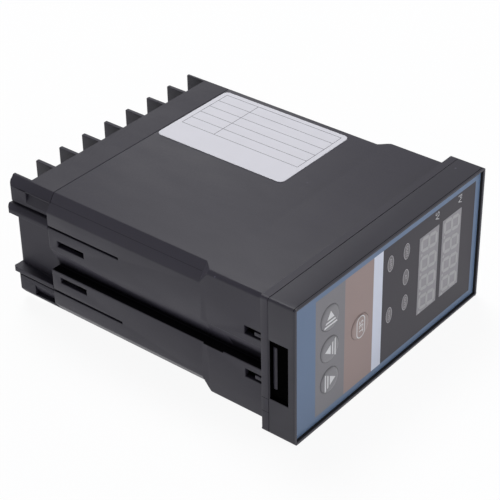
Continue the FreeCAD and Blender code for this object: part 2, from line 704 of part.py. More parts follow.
def make_terminals(column):
    """The contacts, square washers and screws of one column of terminals."""
    level = COLUMNS[column]
    rows = (S.terminal_pitch, S.terminal_rows)
    plate_back = TERMINAL_FLOOR + S.contact_plate
    washer_back = plate_back + S.washer_thick

    contacts = new_body(f"terminal_contacts_{column}")
    plate = rectangle(contacts, f"plate_{column}", "XZ_Plane", TERMINAL_FLOOR,
                      about(FIRST_TERMINAL, S.plate_across / 2), about(level, S.plate_up / 2))
    plate_pad = pad(contacts, f"plate_pad_{column}", plate, S.contact_plate)
    low, high = blade_span(column)
    blade_front = CASE_BACK - S.spigot_length + S.blade_thick
    blade = rectangle(contacts, f"blade_{column}", "XZ_Plane", blade_front,
                      about(FIRST_TERMINAL + S.blade_offset, S.blade_width / 2), (low, high))
    blade_pad = pad(contacts, f"blade_pad_{column}", blade, plate_back - blade_front)
    tapped = polygon(contacts, f"tapped_{column}", "XZ_Plane", TERMINAL_FLOOR,
                     (FIRST_TERMINAL, level), S.screw_radius + S.thread_gap)
    tapped_cut = pocket(contacts, f"tapped_cut_{column}", tapped, S.contact_plate)
    repeat(contacts, f"contact_row_{column}", [plate_pad, blade_pad, tapped_cut], "X_Axis", *rows)

    washers = new_body(f"terminal_washers_{column}")
    washer = rectangle(washers, f"washer_{column}", "XZ_Plane", plate_back,
                       about(FIRST_TERMINAL, S.washer_side / 2), about(level, S.washer_side / 2))
    washer_pad = pad(washers, f"washer_pad_{column}", washer, S.washer_thick)
    bore = polygon(washers, f"washer_bore_{column}", "XZ_Plane", plate_back,
                   (FIRST_TERMINAL, level), S.screw_radius + S.thread_gap * 2)
    bore_cut = pocket(washers, f"washer_bore_cut_{column}", bore, S.washer_thick)
    repeat(washers, f"washer_row_{column}", [washer_pad, bore_cut], "X_Axis", *rows)

    screws = new_body(f"terminal_screws_{column}")
    head = polygon(screws, f"head_{column}", "XZ_Plane", washer_back,
                   (FIRST_TERMINAL, level), S.head_radius, 12)
    head_pad = pad(screws, f"head_pad_{column}", head, S.head_height)
    shank = polygon(screws, f"shank_{column}", "XZ_Plane", washer_back - S.screw_length,
                    (FIRST_TERMINAL, level), S.screw_radius)
    shank_pad = pad(screws, f"shank_pad_{column}", shank, S.screw_length)
    repeat(screws, f"screw_row_{column}", [head_pad, shank_pad], "X_Axis", *rows)


# ---------------------------------------------------------------- front frame


def key_places():
    """The keys' centres (X, Z) by name."""
    middle = MIDDLE + S.key_middle
    return {
        "shift": (KEY_ROW, middle + S.key_pitch),
        "down": (KEY_ROW, middle),
        "up": (KEY_ROW, middle - S.key_pitch),
        "set": (SET_ROW, MIDDLE),
    }


def lamp_places():
    """The indicator lamps' centres (X, Z), in reading order."""
    middle = MIDDLE + S.lamp_middle
    return [
        (UPPER_LAMPS, middle + S.lamp_pitch),
        (UPPER_LAMPS, middle),
        (UPPER_LAMPS, middle - S.lamp_pitch),
        (LOWER_LAMPS, middle + S.lamp_pitch),
        (LOWER_LAMPS, middle - S.lamp_pitch),
    ]


def make_bezel():
    """The front frame: rim, plate with its cut-outs, side walls, arms and bosses."""
    body = new_body("bezel")
    outer = rectangle(body, "bezel_outline", "XZ_Plane", FRONT, both(END), (0, S.front_height))
    pad(body, "bezel_frame", outer, S.bezel_depth)
    round_edges(body, "bezel_corners", S.bezel_corner, lambda middle, way: abs(way.y) > 0.9)
    front = rectangle(body, "recess_outline", "XZ_Plane", FRONT, both(END - S.rim_width),
                      (S.rim_width, S.front_height - S.rim_width))
    pocket(body, "overlay_recess", front, S.rim_height + S.overlay_thick)
    inside = rectangle(body, "inside_outline", "XZ_Plane", PLATE_BACK, both(END - S.bezel_wall),
                       (S.bezel_wall, S.front_height - S.bezel_wall))
    pocket(body, "bezel_inside", inside, S.bezel_depth)
    for name, (x, z) in key_places().items():
        hole = polygon(body, f"key_hole_{name}", "XZ_Plane", PLATE_FRONT, (x, z),
                       S.key_radius + S.key_gap * 4, 16)
        pocket(body, f"key_hole_cut_{name}", hole, S.plate_thick)
    window = rectangle(body, "display_window", "XZ_Plane", PLATE_FRONT,
                       (SV_ROW - S.display_across / 2 - S.fit_gap,
                        PV_ROW + S.display_across / 2 + S.fit_gap),
                       about(MIDDLE + S.display_middle, S.display_up / 2 + S.fit_gap))
    pocket(body, "display_window_cut", window, S.plate_thick)
    for number, (x, z) in enumerate(lamp_places(), 1):
        hole = rectangle(body, f"lamp_hole_{number}", "XZ_Plane", PLATE_FRONT,
                         about(x, S.lamp_across / 2 + S.fit_gap),
                         about(z, S.lamp_up / 2 + S.fit_gap))
        pocket(body, f"lamp_hole_cut_{number}", hole, S.plate_thick)
    lock = rectangle(body, "lock_window", "YZ_Plane", -END - S.bezel_wall,
                     (FRONT + S.window_front, FRONT + S.window_front + S.window_length),
                     (MIDDLE - S.window_low, MIDDLE + S.window_high))
    pocket(body, "lock_window_cut", lock, S.bezel_wall * 2)
    make_bezel_supports(body)


def make_bezel_supports(body):
    """Bosses for the front board's screws and arms that reach the case's hook windows."""
    overlap = S.plate_thick / 2
    for row, sign in (("high", 1), ("low", -1)):
        centre = (-BOSS_ALONG, MIDDLE + S.boss_spread * sign)
        boss = polygon(body, f"boss_{row}", "XZ_Plane", PLATE_BACK - overlap, centre, S.boss_radius)
        boss_pad = pad(body, f"boss_pad_{row}", boss, BOARD_FACE - PLATE_BACK + overlap)
        pilot = polygon(body, f"pilot_{row}", "XZ_Plane", PLATE_BACK, centre, S.pilot_radius)
        pilot_cut = pocket(body, f"pilot_cut_{row}", pilot, BOARD_FACE - PLATE_BACK)
        inner = -SIDE + S.case_wall + S.fit_gap
        arm = rectangle(body, f"arm_{row}", "XZ_Plane", PLATE_BACK - overlap,
                        (inner, inner + S.arm_thick),
                        about(MIDDLE + S.hook_spread * sign, S.hook_height / 2 - S.fit_gap))
        arm_pad = pad(body, f"arm_pad_{row}", arm, SEAT + S.arm_length - PLATE_BACK + overlap
                      - S.collar_thick)
        mirror(body, f"supports_{row}", [boss_pad, pilot_cut, arm_pad], "YZ_Plane")


def make_overlay():
    """The printed overlay in the rim's recess, with a round hole for each key."""
    half = END - S.rim_width - S.fit_gap
    sheet = block("overlay_sheet", both(half), (FRONT + S.rim_height, PLATE_FRONT),
                  (S.rim_width + S.fit_gap, S.front_height - S.rim_width - S.fit_gap))
    holes = [rod(f"overlay_hole_{name}", centre, S.key_radius + S.key_gap,
                 (FRONT, PLATE_BACK)) for name, centre in key_places().items()]
    node(take("front_overlay", sheet, holes), "front_overlay")


def make_key(name, centre):
    """A domed key with its flange and stem, its switch plunger and its switch."""
    body = new_body(f"key_{name}")
    overlay_face = FRONT + S.rim_height
    rise = overlay_face - S.key_rise
    flange_front = PLATE_BACK + S.thread_gap
    sketch = outline(body, f"key_profile_{name}", "XY_Plane", 0, [
        (0, rise),
        (S.key_radius - S.key_rise * 2, rise),
        (S.key_radius, overlay_face),
        (S.key_radius, flange_front),
        (0, flange_front),
    ])
    turned = body.newObject("PartDesign::Revolution", f"key_turned_{name}")
    turned.Profile = sketch
    turned.ReferenceAxis = (sketch, ["V_Axis"])
    turned.Angle = 360
    body.Tip = turned
    flange = polygon(body, f"key_flange_{name}", "XZ_Plane", flange_front, (length(0), length(0)),
                     S.flange_radius, 12)
    pad(body, f"key_flange_pad_{name}", flange, S.flange_thick)
    stem = polygon(body, f"key_stem_{name}", "XZ_Plane", KEY_BACK, (length(0), length(0)),
                   S.stem_radius)
    pad(body, f"key_stem_pad_{name}", stem, S.stem_length)
    body.setExpression("Placement.Base.x", centre[0].text)
    body.setExpression("Placement.Base.z", centre[1].text)

    node(prism(f"plunger_{name}", centre, S.plunger_radius,
               (PLUNGER_FRONT, PLUNGER_FRONT + S.plunger_length)), f"plunger_{name}")
    side = S.switch_side / 2
    shell = block(f"switch_shell_{name}", about(centre[0], side), (SWITCH_FRONT, BOARD_FACE),
                  about(centre[1], side))
    well = prism(f"switch_well_{name}", centre, S.plunger_radius + S.fit_gap,
                 (SWITCH_FRONT - 1, PLUNGER_FRONT + S.plunger_length + S.key_travel + S.fit_gap))
    node(take(f"tact_switch_{name}", shell, [well]), f"tact_switch_{name}")


def make_display(name, row):
    """A four-digit display module, its face just behind the overlay."""
    face = PLATE_FRONT + S.fit_gap
    node(block(f"display_{name}", about(row, S.display_across / 2), (face, BOARD_FACE),
               about(MIDDLE + S.display_middle, S.display_up / 2)), f"display_{name}")


def make_lamp(number, centre):
    """One rectangular indicator lamp."""
    node(block(f"indicator_lamp_{number}", about(centre[0], S.lamp_across / 2),
               (PLATE_FRONT + S.fit_gap, BOARD_FACE), about(centre[1], S.lamp_up / 2)),
         f"indicator_lamp_{number}")


# ---------------------------------------------------------------- boards and components


def make_front_board():
    """The front board and the four screws that hold it to the bosses."""
    sheet = block("front_board_sheet", both(END - S.front_board_inset), (BOARD_FACE, BOARD_REAR),
                  about(MIDDLE, S.front_board_up / 2))
    places = [(BOSS_ALONG * side, MIDDLE + S.boss_spread * row)
              for side in (-1, 1) for row in (-1, 1)]
    clearance = S.pilot_radius + S.thread_gap * 2
    holes = [prism(f"board_hole_{index}", place, clearance, (BOARD_FACE - 1, BOARD_REAR + 1))
             for index, place in enumerate(places)]
    node(take("display_board", sheet, holes), "display_board")
    screws = []
    for index, place in enumerate(places):
        head = prism(f"board_screw_head_{index}", place, S.pilot_radius * 2,
                     (BOARD_REAR, BOARD_REAR + S.pilot_radius), 12)
        shank = prism(f"board_screw_shank_{index}", place, S.pilot_radius - S.thread_gap,
                      (PLATE_BACK + S.plate_thick, BOARD_REAR))
        screws.append(join(f"board_screw_{index}", [head, shank]))
    group = DOC.addObject("Part::Compound", "board_screws")
    group.Links = screws
    node(group, "board_screws")


def make_long_boards():
    """Power, control and middle boards, and the headers that join them."""
    for name, column in (("power", "low"), ("control", "high")):
        node(block(f"{name}_board", both(S.board_half), (LONG_FRONT, LONG_BACK),
                   board_span(column)), f"{name}_board")
    node(block("option_board", both(S.option_half), (OPTION_FRONT, LONG_BACK),
               board_span("middle")), "option_board")
    for name, low in (("power", POWER_TOP), ("control", CONTROL_UNDER - S.header_side)):
        node(block(f"{name}_header", both(S.header_width / 2), (BOARD_REAR, LONG_FRONT + S.header_side),
                   (low, low + S.header_side)), f"{name}_header")
    node(block("option_header", both(S.header_width / 2),
               (OPTION_FRONT + S.header_side, OPTION_FRONT + S.header_side * 2),
               (OPTION_TOP, CONTROL_UNDER)), "option_header")


def footprint(name):
    """A component's spans along X and Y and its height, from the sheet."""
    across, deep, tall, along, back = [getattr(S, f"{name}_{size}") for size in COMPONENT_SIZES]
    centre = (along, LONG_FRONT + back)
    return centre, about(centre[0], across / 2), about(centre[1], deep / 2), tall


def boxed(name, low):
    """A box-shaped component standing on a face."""
    _, across, deep, tall = footprint(name)
    node(block(name, across, deep, (low, low + tall)), name)


def canned(name, low):
    """An upright round can standing on a face."""
    centre, across, _, tall = footprint(name)
    node(post(name, centre, (across[1] - across[0]) / 2, (low, low + tall)), name)


def make_transformer():
    """The transformer's core with its two windows, and the wound bobbin round its middle leg."""
    centre, across, deep, tall = footprint("transformer")
    yoke = tall / 5
    leg, window = (across[1] - across[0]) * 0.15, (across[1] - across[0]) * 0.35
    middle = (POWER_TOP + yoke, POWER_TOP + tall - yoke)
    outer = block("core_outer", across, deep, (POWER_TOP, POWER_TOP + tall))
    past = (deep[0] - 1, deep[1] + 1)
    windows = [block("core_window_left", (centre[0] - window, centre[0] - leg), past, middle),
               block("core_window_right", (centre[0] + leg, centre[0] + window), past, middle)]
    node(take("transformer_core", outer, windows), "transformer_core")
    proud = window / 2
    winding = block("winding_outer", about(centre[0], window - S.thread_gap),
                    (deep[0] - proud, deep[1] + proud), middle)
    hollow = block("winding_hollow", about(centre[0], leg + S.thread_gap),
                   (deep[0] - S.thread_gap, deep[1] + S.thread_gap), middle)
    node(take("transformer_bobbin", winding, [hollow]), "transformer_bobbin")


def make_components():
    """What stands on the boards: transformer, capacitors, relays and chips."""
    make_transformer()
    for name in ("film_capacitor", "output_relay"):
        boxed(name, POWER_TOP)
    for name in ("bulk_capacitor", "fuse"):
        canned(name, POWER_TOP)
    centre, across, deep, tall = footprint("varistor")
    radius = (across[1] - across[0]) / 2
    node(rod("varistor", (centre[0], POWER_TOP + tall / 2), radius, deep), "varistor")
    for name in ("alarm_relay_1", "alarm_relay_2"):
        boxed(name, OPTION_TOP)
    for name in ("microcontroller", "input_amplifier"):
        boxed(name, CONTROL_UNDER + S.board_thick)
    for number in (1, 2, 3):
        name = f"filter_capacitor_{number}"
        canned(name, CONTROL_UNDER - getattr(S, f"{name}_tall"))


def make_label():
    """The plain label stuck to the case's upper face."""
    body = new_body("rating_label")
    back = CASE_BACK - S.label_inset
    sheet = rectangle(body, "label_outline", "XY_Plane", CASE_HIGH,
                      about(S.label_middle, S.label_width / 2), (back - S.label_length, back))
    pad(body, "label_sheet", sheet, S.label_thick)
    round_edges(body, "label_corners", S.label_corner, lambda middle, way: abs(way.z) > 0.9)


def main():
    """Builds every sub-part, checks the document and writes one file for each node."""
    make_case()
    make_terminal_block()
    for column in COLUMNS:
        make_terminals(column)
    make_bezel()
    make_overlay()
    for name, centre in key_places().items():
        make_key(name, centre)
    make_display("pv", PV_ROW)
    make_display("sv", SV_ROW)
    for number, centre in enumerate(lamp_places(), 1):
        make_lamp(number, centre)
    make_front_board()
    make_long_boards()
    make_components()
    make_label()
    finish()


def finish():
    """Stops on any failed object, then exports every node."""
    DOC.recompute()
    for item in DOC.Objects:
        if "Invalid" in item.State or "Error" in item.State:
            raise RuntimeError(f"{item.Name} failed: {item.State}")
    os.makedirs("parts", exist_ok=True)
    for item in NODES:
        shape = item.Shape
        if shape.isNull() or not shape.isValid():
            raise RuntimeError(f"{item.Label} has no valid shape")
    for item in NODES:
        item.Shape.exportStep(f"parts/{item.Label}.step")
        print(f"{item.Label}: {len(item.Shape.Solids)} solids, {item.Shape.Volume:.0f} mm3")


main()
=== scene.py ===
"""Looks of a panel temperature controller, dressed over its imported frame.

The controller lies on its side: X runs along the long side of its front, Y from the
front face back to the terminals, and Z up. Someone who reads the front has +X up and
-Z to the right. Sizes here are in millimetres; a finished mesh is in metres.
"""

import logging
import math
from dataclasses import dataclass, field
from enum import Enum
from typing import Any, Optional, Sequence, Union

import bmesh
import bpy
from mathutils import Matrix, Vector


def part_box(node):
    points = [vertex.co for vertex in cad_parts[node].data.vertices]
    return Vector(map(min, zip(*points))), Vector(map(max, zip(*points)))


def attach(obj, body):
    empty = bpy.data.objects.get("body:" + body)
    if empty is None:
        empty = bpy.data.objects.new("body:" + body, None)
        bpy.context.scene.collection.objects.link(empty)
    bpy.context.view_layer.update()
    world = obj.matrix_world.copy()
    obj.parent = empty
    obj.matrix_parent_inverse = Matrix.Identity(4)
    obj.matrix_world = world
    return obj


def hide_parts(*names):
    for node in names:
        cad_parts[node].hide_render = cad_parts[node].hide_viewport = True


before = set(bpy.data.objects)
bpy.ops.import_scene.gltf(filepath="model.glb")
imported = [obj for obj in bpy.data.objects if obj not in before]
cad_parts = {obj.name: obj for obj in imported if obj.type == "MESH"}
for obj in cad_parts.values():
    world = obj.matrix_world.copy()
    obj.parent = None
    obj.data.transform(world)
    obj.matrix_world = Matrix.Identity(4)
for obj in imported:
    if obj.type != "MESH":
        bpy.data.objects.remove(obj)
LOG = logging.getLogger("controller")
METRE = 0.001
Point = Sequence[float]
Colour = tuple[float, float, float]
Place = tuple[float, float, float]
DEEP_BLACK: Colour = (0.002, 0.002, 0.002)
Number = Union[float, "Wire"]


# ------------------------------------------------------------------ boxes and names


@dataclass(frozen=True)
class Box:
    """Lowest and highest corners of something, in millimetres."""

    low: Vector
    high: Vector

    @classmethod
    def of(cls, node: str) -> "Box":
        """The box of a node of the frame."""
        low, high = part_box(node)
        return cls(Vector(low) / METRE, Vector(high) / METRE)

    @property
    def middle(self) -> Vector:
        """The box's centre."""
        return (self.low + self.high) / 2

    @property
    def size(self) -> Vector:
        """The box's three sizes."""
        return self.high - self.low


class Body(Enum):
    """The moving bodies that a piece can ride on."""

    HOUSING = "housing"
    CHASSIS = "chassis"
    SHIFT = "shift_key"
    DOWN = "down_key"
    UP = "up_key"
    SET = "set_key"


class Axis(Enum):
    """The axis that a turned shape is round, as the order of its (u, v, along)."""

    X = (1, 2, 0)
    Y = (2, 0, 1)
    Z = (0, 1, 2)

    def place(self, u: float, v: float, along: float) -> Vector:
        """The point with those coordinates across and along the axis.

        Args:
            u: The first coordinate across the axis.
            v: The second one.
            along: The distance along the axis.

        Returns:
            The point.
        """
        point = Vector((0.0, 0.0, 0.0))
        for index, value in zip(self.value, (u, v, along)):
            point[index] = value
        return point


# ------------------------------------------------------------------ materials: the tools


class Wire:
    """A number inside a material: a socket whose arithmetic adds Math nodes."""

    def __init__(self, tree: bpy.types.NodeTree, socket: bpy.types.NodeSocket) -> None:
        """Keeps the socket and the tree that it is in."""
        self.tree = tree
        self.socket = socket

    def maths(self, operation: str, *values: Number, clamp: bool = False) -> "Wire":
        """Adds one Math node.

        Args:
            operation: The node's operation.
            *values: What its sockets get, in their order.
            clamp: Whether its result is kept between 0 and 1.

        Returns:
            The node's result.
        """
        node = self.tree.nodes.new("ShaderNodeMath")
        node.operation = operation
        node.use_clamp = clamp
        for socket, value in zip(node.inputs, values):
            if isinstance(value, Wire):
                self.tree.links.new(value.socket, socket)
            else:
                socket.default_value = value
        return Wire(self.tree, node.outputs[0])

    def __add__(self, other: Number) -> "Wire":
        """Sum."""
        return self.maths("ADD", self, other)

    def __radd__(self, other: Number) -> "Wire":
        """Sum with a plain number first."""
        return self.maths("ADD", other, self)

    def __sub__(self, other: Number) -> "Wire":
        """Difference."""
        return self.maths("SUBTRACT", self, other)

    def __rsub__(self, other: Number) -> "Wire":
        """Difference from a plain number."""
        return self.maths("SUBTRACT", other, self)

    def __mul__(self, other: Number) -> "Wire":
        """Product."""
        return self.maths("MULTIPLY", self, other)

    def __rmul__(self, other: Number) -> "Wire":
        """Product with a plain number first."""
        return self.maths("MULTIPLY", other, self)

    def __truediv__(self, other: Number) -> "Wire":
        """Quotient."""
        return self.maths("DIVIDE", self, other)

    def __pow__(self, other: Number) -> "Wire":
        """Power."""
        return self.maths("POWER", self, other)

    def __abs__(self) -> "Wire":
        """Size without its sign."""
        return self.maths("ABSOLUTE", self)

    def __or__(self, other: Number) -> "Wire":
        """The larger of two masks."""
        return self.maths("MAXIMUM", self, other)

    def __and__(self, other: Number) -> "Wire":
        """The smaller of two masks."""
        return self.maths("MINIMUM", self, other)

    def floor(self) -> "Wire":
        """The whole number below."""
        return self.maths("FLOOR", self)

    def part(self) -> "Wire":
        """What is left over the whole number below."""
        return self.maths("FRACT", self)

    def above(self, level: Number, soft: float) -> "Wire":
        """A mask that turns from 0 to 1 where the value passes a level."""
        ramp = (self - level) / soft
        return ramp.maths("ADD", ramp, 0.5, clamp=True)

    def within(self, low: float, high: float, soft: float) -> "Wire":
        """A mask of the values between two levels."""
        return self.above(low, soft) & (1.0 - self.above(high, soft))


class Graph:
    """The nodes of one material, from its coordinates to its shader."""

    def __init__(self, name: str) -> None:
        """Starts a material with one principled shader.

        Args:
            name: The material's name.
        """
        self.material = bpy.data.materials.new(name)
        self.material.use_nodes = True
        self.tree = self.material.node_tree
        self.tree.nodes.clear()
        self.output = self.tree.nodes.new("ShaderNodeOutputMaterial")
        self.shader = self.tree.nodes.new("ShaderNodeBsdfPrincipled")
        self.tree.links.new(self.shader.outputs[0], self.output.inputs[0])
        coordinates = self.node("ShaderNodeTexCoord", {}, {})
        self.coordinates = coordinates.outputs["Object"]

    def node(self, kind: str, settings: dict[str, Any], values: dict[Any, Any]) -> bpy.types.Node:
        """Adds a node.

        Args:
            kind: The node's type.
            settings: Its properties, which are set first.
            values: What its sockets get, by name or number: a value, a socket or a wire.

        Returns:
            The node.
        """
        node = self.tree.nodes.new(kind)
        for key, value in settings.items():
            setattr(node, key, value)
        for key, value in values.items():
            if isinstance(value, Wire):
                value = value.socket
            if isinstance(value, bpy.types.NodeSocket):
                self.tree.links.new(value, node.inputs[key])
            else:
                node.inputs[key].default_value = value
        return node

    def wire(self, node: bpy.types.Node, output: Union[str, int] = 0) -> Wire:
        """One output of a node as a wire."""
        return Wire(self.tree, node.outputs[output])

    def place(self) -> tuple[Wire, Wire, Wire]:
        """The three object coordinates, in millimetres."""
        parts = self.node("ShaderNodeSeparateXYZ", {}, {0: self.coordinates})
        return tuple(self.wire(parts, index) / METRE for index in range(3))

    def noise(self, size: float, detail: float = 2.0, stretch: Point = (1.0, 1.0, 1.0)) -> Wire:
        """Smooth noise from 0 to 1.

        Args:
            size: The rough size of its lumps, in millimetres.
            detail: How many finer layers it has.
            stretch: How much longer the lumps are along each axis.

        Returns:
            The noise.
        """
        scale = [1.0 / (size * METRE * value) for value in stretch]
        mapping = self.node("ShaderNodeMapping", {}, {"Vector": self.coordinates, "Scale": scale})
        node = self.node("ShaderNodeTexNoise", {}, {"Vector": mapping.outputs[0], "Scale": 1.0,
                                                    "Detail": detail})
        return self.wire(node)

    def cells(self, size: float) -> bpy.types.Node:
        """A Voronoi node with cells of about that size in millimetres."""
        return self.node("ShaderNodeTexVoronoi", {"feature": "F1"},
                         {"Vector": self.coordinates, "Scale": 1.0 / (size * METRE)})

    def flecks(self, size: float, share: float) -> Wire:
        """A mask of scattered specks.

        Args:
            size: The distance between the places where one may be, in millimetres.
            share: The part of those places that has one.

        Returns:
            The mask.
        """
        cells = self.cells(size)
        chosen = self.wire(self.node("ShaderNodeSeparateXYZ", {}, {0: cells.outputs["Color"]}))
        near = 1.0 - self.wire(cells, "Distance").above(0.16, 0.1)
        return near & (1.0 - chosen.above(share, 0.001))

    def mix(self, factor: Number, first: Any, second: Any) -> bpy.types.NodeSocket:
        """Blends two colours."""
        values = {0: factor, 6: as_colour(first), 7: as_colour(second)}
        return self.node("ShaderNodeMix", {"data_type": "RGBA"}, values).outputs[2]

    def bump(self, height: Wire, depth: float) -> None:
        """Feeds a height, 0 to 1 over a depth in millimetres, to the shader's normal.

        Args:
            height: The height, 0 to 1.
            depth: What a height of 1 is worth, in millimetres.
        """
        node = self.node("ShaderNodeBump", {}, {"Height": height, "Distance": depth * METRE,
                                                "Strength": 1.0})
        self.tree.links.new(node.outputs[0], self.shader.inputs["Normal"])

    def cover(self, mask: Wire, shader: bpy.types.Node) -> None:
        """Shows another shader over the principled one, where the mask is 1.

        Args:
            mask: Where the other shader shows, 0 to 1.
            shader: The other shader's node.
        """
        blend = self.node("ShaderNodeMixShader", {}, {0: mask, 1: self.shader.outputs[0],
                                                      2: shader.outputs[0]})
        self.tree.links.new(blend.outputs[0], self.output.inputs[0])

    def blacken(self, mask: Wire) -> None:
        """Turns the surface to a deep, glossless black where the mask is 1: dark lines and painted
        shade.
        """
        self.cover(mask, self.node("ShaderNodeBsdfDiffuse", {}, {"Color": as_colour(DEEP_BLACK)}))

    def feed(self, **values: Any) -> None:
        """Sets or links the shader's sockets, named with _ for a space."""
        for key, value in values.items():
            socket = self.shader.inputs[key.replace("_", " ").title().replace("Ior", "IOR")]
            if isinstance(value, Wire):
                value = value.socket
            if isinstance(value, bpy.types.NodeSocket):
                self.tree.links.new(value, socket)
            elif isinstance(value, tuple):
                socket.default_value = as_colour(value)
            else:
                socket.default_value = value


def as_colour(value: Any) -> Any:
    """A colour with its fourth number, or the socket that was given."""
    return (*value, 1.0) if isinstance(value, tuple) else value


def tone(colour: Colour, factor: float) -> Colour:
    """A colour made lighter or darker."""
    return tuple(min(1.0, part * factor) for part in colour)


# ------------------------------------------------------------------ materials: the finishes


@dataclass(frozen=True)
class Mark:
    """A region painted deep black on both sides in X: a parting line, a gap, or painted shade of a
    deep place.
    """

    low: Place
    high: Place
    depth: float = 1.0
    soft: Place = (0.05, 0.05, 0.05)


@dataclass(frozen=True)
class Moulding:
    """Moulded plastic with a fine spark-eroded grain, cloudy gloss, a little dust, and black marks:
    dark lines and painted shade.
    """

    name: str
    colour: Colour
    roughness: float = 0.5
    grain: float = 0.32
    relief: float = 0.014
    clouds: float = 28.0
    dust: float = 0.004
    ior: float = 1.43
    marks: tuple[Mark, ...] = ()

    def make(self) -> bpy.types.Material:
        """Builds the material.

        Returns:
            The material.
        """
        graph = Graph(self.name)
        grain = graph.noise(self.grain, 3.0)
        clouds = graph.noise(self.clouds, 3.0)
        rub = graph.noise(self.clouds / 5, 2.0, (1.0, 3.0, 1.0))
        cloudy = graph.mix(clouds, tone(self.colour, 0.86), tone(self.colour, 1.14))
        dusty = graph.flecks(1.9, self.dust)
        colour = graph.mix(dusty * 0.5, cloudy, tone(self.colour, 5.0))
        gloss = self.roughness + (grain - 0.5) * 0.18 + (rub - 0.5) * 0.14
        graph.feed(base_color=colour, roughness=gloss, ior=self.ior)
        graph.bump(grain, self.relief)
        # The marks blacken the surface: parting lines, and painted shade in deep places.
        if self.marks:
            graph.blacken(self.dark_lines_and_painted_shade(graph))
        return graph.material

    def dark_lines_and_painted_shade(self, graph: Graph) -> Wire:
        """The mask of all the marks, dark lines and painted shade, each as strong as its depth.

        Args:
            graph: The material's graph.

        Returns:
            The mask, 0 to 1.
        """
        across, along, up = graph.place()
        places = (abs(across), along, up)
        lines_and_shade: Optional[Wire] = None
        for mark in self.marks:
            inside = [place.within(low, high, soft)
                      for place, low, high, soft in zip(places, mark.low, mark.high, mark.soft)]
            spot = (inside[0] & inside[1] & inside[2]) * mark.depth
            lines_and_shade = spot if lines_and_shade is None else lines_and_shade | spot
        return lines_and_shade


@dataclass(frozen=True)
class Metal:
    """Plated metal with fine drawing lines and a thin dulling."""

    name: str
    colour: Colour
    roughness: float = 0.3
    stretch: Colour = (1.0, 1.0, 8.0)
    size: float = 0.25

    def make(self) -> bpy.types.Material:
        """Builds the material.

        Returns:
            The material.
        """
        graph = Graph(self.name)
        lines = graph.noise(self.size, 3.0, self.stretch)
        dull = graph.noise(2.6, 3.0)
        colour = graph.mix(dull, self.colour, tone(self.colour, 0.72))
        graph.feed(base_color=colour, metallic=1.0,
                   roughness=self.roughness + (lines - 0.5) * 0.22 + (dull - 0.5) * 0.2)
        graph.bump(lines, 0.006)
        return graph.material


@dataclass(frozen=True)
class Ink:
    """A thin printed or lacquered colour, with the film's fine grain in it."""

    name: str
    colour: Colour
    roughness: float = 0.42
    patch: float = 0.06

    def make(self) -> bpy.types.Material:
        """Builds the material.

        Returns:
            The material.
        """
        graph = Graph(self.name)
        grain = graph.noise(0.22, 2.0)
        cover = graph.noise(1.8, 2.0)
        colour = graph.mix(cover, tone(self.colour, 1 - self.patch),
                           tone(self.colour, 1 + self.patch))
        graph.feed(base_color=colour, roughness=self.roughness + (grain - 0.5) * 0.1)
        graph.bump(grain, 0.003)
        return graph.material


@dataclass(frozen=True)
class Strip:
    """One printed band of the front film, over a span along X."""

    low: float
    high: float
    colour: Colour


@dataclass(frozen=True)
class FrontFilm:
    """Polyester film printed in bands inside a coloured border, and softly textured."""

    name: str
    border: Colour
    strips: tuple[Strip, ...]
    sides: tuple[float, float, float, float]
    soft: float = 0.12

    def make(self) -> bpy.types.Material:
        """Builds the material; sides are the inner edges of the border in X and Z.

        Returns:
            The material.
        """
        graph = Graph(self.name)
        across, _, up = graph.place()
        colour: Any = self.border
        inside = up.within(self.sides[2], self.sides[3], self.soft)
        for strip in self.strips:
            colour = graph.mix(across.within(strip.low, strip.high, self.soft) & inside,
                               colour, strip.colour)
        grain = graph.noise(0.3, 3.0)
        haze = graph.noise(14.0, 2.0)
        rubbed = graph.mix(haze * 0.03, colour, (0.55, 0.5, 0.6))
        graph.feed(base_color=rubbed, ior=1.32,
                   roughness=0.36 + (grain - 0.5) * 0.12 + (haze - 0.5) * 0.12)
        graph.bump(grain, 0.006)
        return graph.material


@dataclass(frozen=True)
class RuledLabel:
    """White coated paper with a ruled, empty table."""

    name: str
    sheet: Box
    paper: Colour = (0.90, 0.895, 0.97)
    ink: Colour = (0.07, 0.07, 0.09)
    rows: int = 5
    row_height: float = 4.6
    inset: float = 1.9
    column: float = 13.5
    line: float = 0.22

    def make(self) -> bpy.types.Material:
        """Builds the material.

        Returns:
            The material.
        """
        graph = Graph(self.name)
        across, along, _ = graph.place()
        soft = 0.08
        reach = self.sheet
        top = reach.high.x - self.inset
        bottom = top - self.rows * self.row_height
        first, last = reach.low.y + self.inset, reach.high.y - self.inset
        steps = (top - across) / self.row_height
        near = abs((steps + 0.5).part() - 0.5) * self.row_height
        rules = (1.0 - near.above(self.line / 2, soft)) & along.within(first, last, soft)
        rules = rules & across.within(bottom - self.line / 2, top + self.line / 2, soft)
        posts: Optional[Wire] = None
        for place in (first, last - self.column, last):
            post = along.within(place - self.line / 2, place + self.line / 2, soft)
            posts = post if posts is None else posts | post
        posts = posts & across.within(bottom, top, soft)
        fibres = graph.noise(0.5, 3.0)
        shade = graph.noise(9.0, 2.0)
        paper = graph.mix(shade, tone(self.paper, 0.97), tone(self.paper, 1.03))
        printed = graph.mix((rules | posts) * (0.74 + fibres * 0.3), paper, self.ink)
        graph.feed(base_color=printed, roughness=0.5 + (fibres - 0.5) * 0.2)
        graph.bump(fibres, 0.006)
        return graph.material


